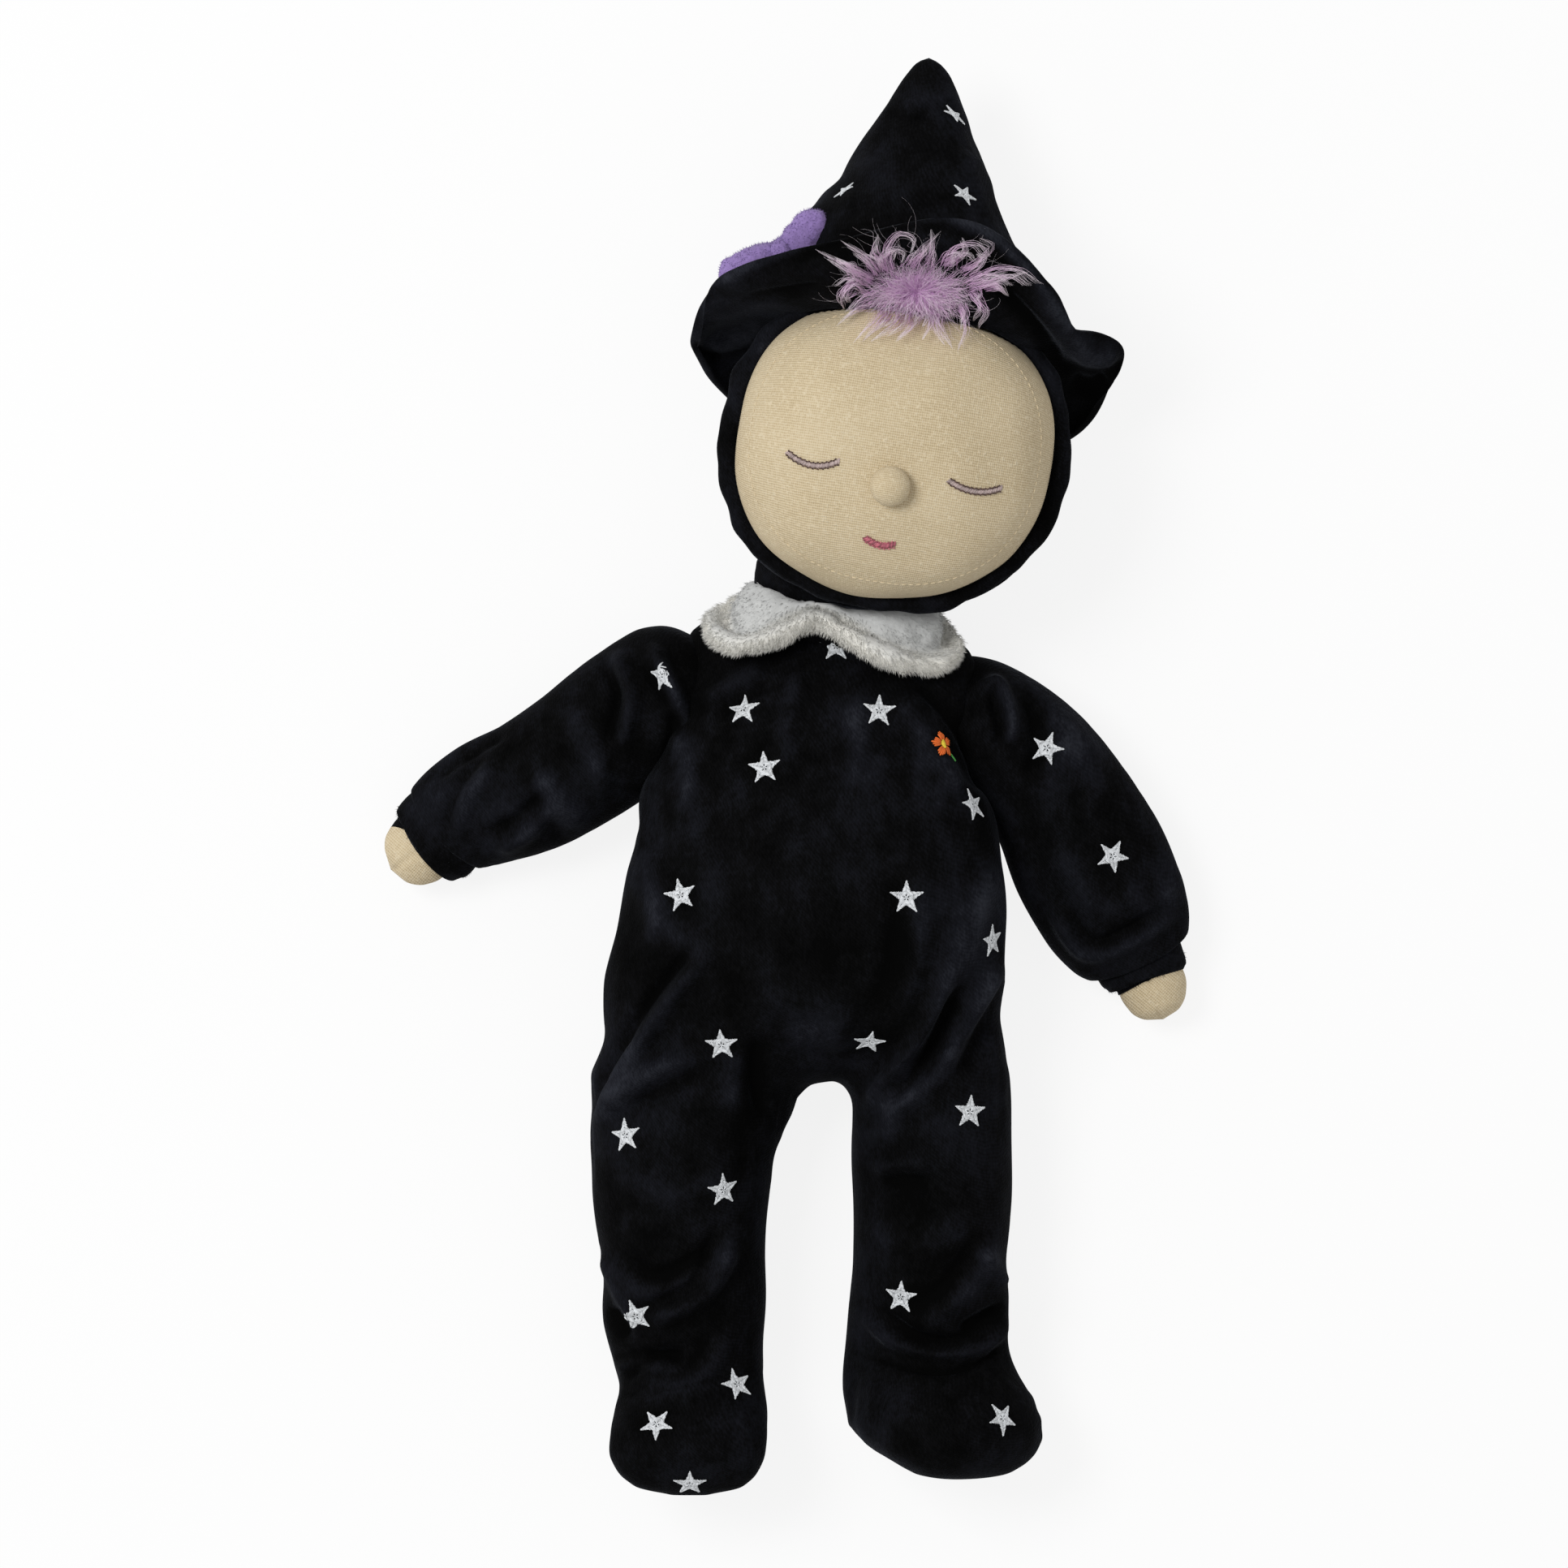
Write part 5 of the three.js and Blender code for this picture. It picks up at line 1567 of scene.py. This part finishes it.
suitParts = {"torso": suitBody}
for hand, cut in legCut.items():
    way = unit(cut["way"])
    flank = -1 if hand == "left" else 1

    def below(places):
        return ((places[:, 0] - midline) * flank > 0) & (places[:, 1] < hipTop)

    thigh = cutOff(suitBody, "thigh_velour_" + hand, way * cut["lift"][0], way, below)
    leg = cutOff(thigh, "leg_velour_" + hand, way * cut["lift"][1], way, below)
    foot = cutOff(leg, "foot_velour_" + hand, (0, ankle, 0), (0, -1, 0), below)
    suitParts.update({"thigh_" + hand: thigh, "leg_" + hand: leg, "foot_" + hand: foot})
    body = ("torso", "hip_" + hand, "leg_" + hand)
    follow["thigh_" + hand] = (body[0], body[1], station(way, cut["lift"][0]), station(way, cut["lift"][1]))
    follow["leg_" + hand] = (body[1], body[2], station(way, cut["splay"][0]), station(way, cut["splay"][1]))
    follow["foot_" + hand] = ("leg_" + hand,)
for hand, cut in armCut.items():
    way, pivot = unit(cut["way"]), np.array(cut["pivot"])
    root = sleeves[hand]
    upper = cutOff(root, "sleeve_velour_" + hand, pivot + way * cut["swing"][1], way, everywhere)
    suitParts.update({"shoulder_" + hand: root, "sleeve_" + hand: upper})
    body = ("torso", "shoulder_" + hand, "arm_" + hand)
    marks = [tuple((pivot + way * s) * mm) for s in (*cut["swing"], *cut["lift"])]
    follow["shoulder_" + hand] = (body[0], body[1], marks[0], marks[1])
    follow["sleeve_" + hand] = (body[1], body[2], marks[2], marks[3])

# embroidered stars, laid on the cloth where the picture shows them
stars = {
    "size": 4.9,
    "neck": 0.4,
    "rows": 12,
    "thread": 0.44,
    "marks": [
        (815, 832, 8), (1030, 797, 0), (916, 874, 5), (1083, 876, -4), (942, 946, 6), (1290, 922, -20),
        (1199, 992, 12), (839, 1103, 14), (1117, 1106, 0), (1222, 1159, 10), (1371, 1055, -26),
        (889, 1287, 4), (1071, 1283, -12), (771, 1399, 8), (1195, 1370, -4), (891, 1466, 8),
        (1110, 1598, -6), (783, 1622, 20), (908, 1706, 16), (809, 1755, 182), (1235, 1748, 176),
        (850, 1828, 0),
    ],
    # seen aslant: also the direction that is foreshortened, in degrees, by how much, and the size
    "hat": [(1176, 142, 20, 54, 0.4, 0.85), (1041, 235, 50, 126, 0.5, 0.75), (1188, 240, -30, 63, 0.6, 0.9)],
}


def starThreads(skin, mark, seed):
    draw = np.random.default_rng(seed)
    px, py, lean, slant, share, scale = (*mark, 0, 1, 1)[:6]
    size = stars["size"] * scale
    slant = np.array([math.cos(math.radians(slant)), math.sin(math.radians(slant))])
    hit = skin.seen(px, py)
    if hit is None:
        return []
    place, normal = hit
    normal = unit(normal + np.array([0, 0, 0.4]))
    right = unit(np.cross([0, 1, 0], normal))
    up = np.cross(normal, right)
    sewn = []

    def lay(u, v):
        flat = np.array([u, v])
        u, v = flat - slant * (flat @ slant) * (1 - share)
        spot, found = skin.under(place + (right * u + up * v) * mm, normal)
        lying = abs((spot - place) @ normal) < 3.5 * mm and found @ normal > 0.2
        return spot + found * 0.12 * mm, found, lying

    for arm in range(5):
        turn = math.radians(90 + 72 * arm + lean)
        c, s = math.cos(turn), math.sin(turn)
        for k in range(stars["rows"]):
            t = (k + 0.5) / stars["rows"]
            out = size * (0.08 + 0.92 * t) * draw.uniform(0.97, 1.03)
            wide = size * stars["neck"] * (1 - t) ** 1.1 * draw.uniform(0.85, 1.15) + 0.2
            for flank in (-1, 1):
                ends = []
                for far, off in ((out + 0.5, -0.1), (out - 0.25, wide)):
                    ends.append(lay(c * far - s * flank * off, s * far + c * flank * off))
                tone = draw.uniform(0.1, 1)
                if ends[0][2] and ends[1][2]:
                    sewn.append((ends[0][0], ends[1][0], ends[0][1], stars["thread"] * mm, 0.22 * mm, tone))
    for k in range(5):
        turn = math.radians(54 + 72 * k + lean)
        a = lay(0, 0)
        b = lay(math.cos(turn) * size * 0.34, math.sin(turn) * size * 0.34)
        sewn.append((a[0], b[0], a[1], stars["thread"] * mm * 1.2, 0.3 * mm, draw.uniform(0.2, 1)))
    return sewn


def partOf(px, py):
    # the nearest part of the suit under a pixel
    best = None
    for part, skin in partSkins.items():
        hit = skin.seen(px, py)
        if hit and (best is None or hit[0][2] > best[1]):
            best = (part, hit[0][2])
    return best[0] if best else None


partSkins = {part: Skin(piece) for part, piece in suitParts.items()}
onArm = ("shoulder", "sleeve")
wholeSkin = Skin(*(piece for part, piece in suitParts.items() if not part.startswith(onArm)))
armSkins = {}
for hand in ("left", "right"):
    armSkins[hand] = Skin(suitParts["shoulder_" + hand], suitParts["sleeve_" + hand])
gathered = {}
for k, mark in enumerate(stars["marks"]):
    part = partOf(mark[0], mark[1])
    if part:
        hand = part.split("_")[-1]
        skin = armSkins[hand] if part.startswith(onArm) else wholeSkin
        gathered.setdefault(part, []).extend(starThreads(skin, mark, 100 + k))
for part, threads in gathered.items():
    piece = sew("stars_" + part, threads, starThread)
    carry(piece, part)
hatSkin = Skin(hatCrown)
hatThreads = []
for k, mark in enumerate(stars["hat"]):
    hatThreads += starThreads(hatSkin, mark, 200 + k)
hatStars = sew("stars_hat", hatThreads, starThread)
print("stars sewn")

# chest motif: a small plain flower
flower = {"place": (1162, 917), "petal": 2.9, "heart": 1.2}


def flowerThreads():
    place, normal = wholeSkin.seen(*flower["place"])
    right = unit(np.cross([0, 1, 0], normal))
    up = np.cross(normal, right)
    draw = np.random.default_rng(77)

    def lay(u, v):
        spot, found = wholeSkin.under(place + (right * u + up * v) * mm, normal)
        return spot + found * 0.15 * mm, found

    petals, heart, leaf = [], [], []
    for k in range(5):
        for side in (-0.36, -0.18, 0, 0.18, 0.36):
            turn = math.radians(90 + 72 * k) + side
            size = flower["petal"] * (1 - abs(side) * 0.5) * draw.uniform(0.95, 1.05)
            a = lay(math.cos(turn) * 1.1, math.sin(turn) * 1.1)
            b = lay(math.cos(turn) * size * 1.5, math.sin(turn) * size * 1.5)
            petals.append((a[0], b[0], a[1], 0.75 * mm, 0.3 * mm, draw.uniform(0.2, 1)))
    for k in range(7):
        v = (k - 3) * 0.36
        w = math.sqrt(max(0.05, flower["heart"] ** 2 - v * v))
        a, b = lay(-w, v), lay(w, v)
        heart.append((a[0], b[0], a[1], 0.55 * mm, 0.5 * mm, draw.uniform(0.2, 1)))
    for k in range(9):
        t = k / 8
        w = 1.1 * math.sin(math.pi * (0.12 + 0.8 * t))
        x, y = 2.6 + 2.6 * t, -3.2 - 1.8 * t
        a, b = lay(x - w * 0.5, y + w * 0.9), lay(x + w * 0.6, y - w * 0.7)
        leaf.append((a[0], b[0], a[1], 0.55 * mm, 0.25 * mm, draw.uniform(0.2, 1)))
    return petals, heart, leaf


petals, heart, leaf = flowerThreads()
for name, threads, thread in (
    ("flower_petals", petals, petalThread),
    ("flower_heart", heart, heartThread),
    ("flower_leaf", leaf, leafThread),
):
    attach(sew(name, threads, thread), "torso")
print("flower sewn")

# every piece takes its finish and the nodes that it stands for, and its body where it rides one
for part, piece in suitParts.items():
    paint(piece, velour)
    carry(piece, part)
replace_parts(suitBody, "suit_body", "body_filling")
for hand in ("left", "right"):
    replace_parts(suitParts["thigh_" + hand], "hip_wad_" + hand)
    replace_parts(suitParts["leg_" + hand], "leg_" + hand, "leg_filling_" + hand)
    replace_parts(suitParts["foot_" + hand], "foot_" + hand, "foot_filling_" + hand, "sole_" + hand)
    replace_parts(suitParts["shoulder_" + hand], "shoulder_wad_" + hand)
    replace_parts(suitParts["sleeve_" + hand], "sleeve_" + hand, "arm_filling_" + hand)
    for piece, node, finish, slot, fill in (
        (cuffs[hand], "cuff_" + hand, velour, "velour", 0.3),
        (hands[hand], "hand_" + hand, cottonHand, "cotton", 0.8),
    ):
        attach(paint(piece, finish), "arm_" + hand)
        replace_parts(piece, node)
    lobe = collars[hand]
    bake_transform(paint(lobe, plush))
    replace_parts(lobe, "collar_" + hand)
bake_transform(paint(neck, velour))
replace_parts(neck, "neck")
headPieces = [
    (hood, velour, "velour", 0.8, ("hood", "head_filling")),
    (hoodRim, velour, "velour", 0.5, ("hood_rim",)),
    (facePanel, cotton, "cotton", 0.8, ("face_panel",)),
    (noseBall, cotton, "cotton", 1.0, ("nose",)),
    (hatCrown, velour, "velour", 0.7, ("hat_crown", "hat_filling")),
    (hatBrim, velour, "velour", 0.2, ("hat_brim",)),
    (bows["left"], bowPlush, "bow_plush", 0.6, ("bow_loop_left",)),
    (bows["right"], bowPlush, "bow_plush", 0.6, ("bow_loop_right",)),
    (bows["knot"], bowPlush, "bow_plush", 0.7, ("bow_knot",)),
]
for piece, finish, slot, fill, nodes in headPieces:
    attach(paint(piece, finish), "head")
    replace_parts(piece, *nodes)
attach(paint(hairTuft, hairFibre), "head")
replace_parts(hairTuft, "hair_tuft")
for piece in (lids, lashes, lips, faceSeam, hatStars):
    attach(piece, "head")

# floor and light
stage = {
    "size": 6.0,
    "white": 0.9,
    "shown": 0.86,
    "world": 0.54,
    "lamp": {"power": 26.5, "size": 0.8, "place": (-0.95, 0.5, 1.95), "aim": (0, 0, 0.03)},
}
bpy.ops.object.select_all(action="DESELECT")
bpy.ops.mesh.primitive_plane_add(size=stage["size"], location=(0, 0, -ground * mm))
floor = bpy.context.object
floor.name = "floor"
paper = Finish("paper")
path = paper.tree.nodes.new("ShaderNodeLightPath")
seen = Wire(paper.tree, path.outputs["Is Camera Ray"])
glossy = Wire(paper.tree, path.outputs["Is Glossy Ray"])
through = Wire(paper.tree, path.outputs["Is Transmission Ray"])
matte = paper.node("ShaderNodeBsdfDiffuse", None, {"Color": solid((stage["white"],) * 3)})
glow = paper.node("ShaderNodeEmission", None, {"Color": (1, 1, 1, 1), "Strength": 1.0})
shown = (seen + glossy + through) * stage["shown"]
paper.done(paper.node("ShaderNodeMixShader", None, {0: shown, 1: matte, 2: glow}))
floor.data.materials.append(paper.material)
world = bpy.data.worlds.new("studio")
scene.world = world
world.use_nodes = True
world.node_tree.nodes["Background"].inputs["Color"].default_value = (1, 1, 1, 1)
world.node_tree.nodes["Background"].inputs["Strength"].default_value = stage["world"]
beam = stage["lamp"]
bpy.ops.object.light_add(type="AREA", location=beam["place"])
lamp = bpy.context.object
lamp.name = "softbox"
lamp.data.shape, lamp.data.size = "SQUARE", beam["size"]
lamp.data.energy = beam["power"]
lamp.rotation_euler = (Vector(beam["aim"]) - lamp.location).to_track_quat("-Z", "Y").to_euler()
print("stage set")
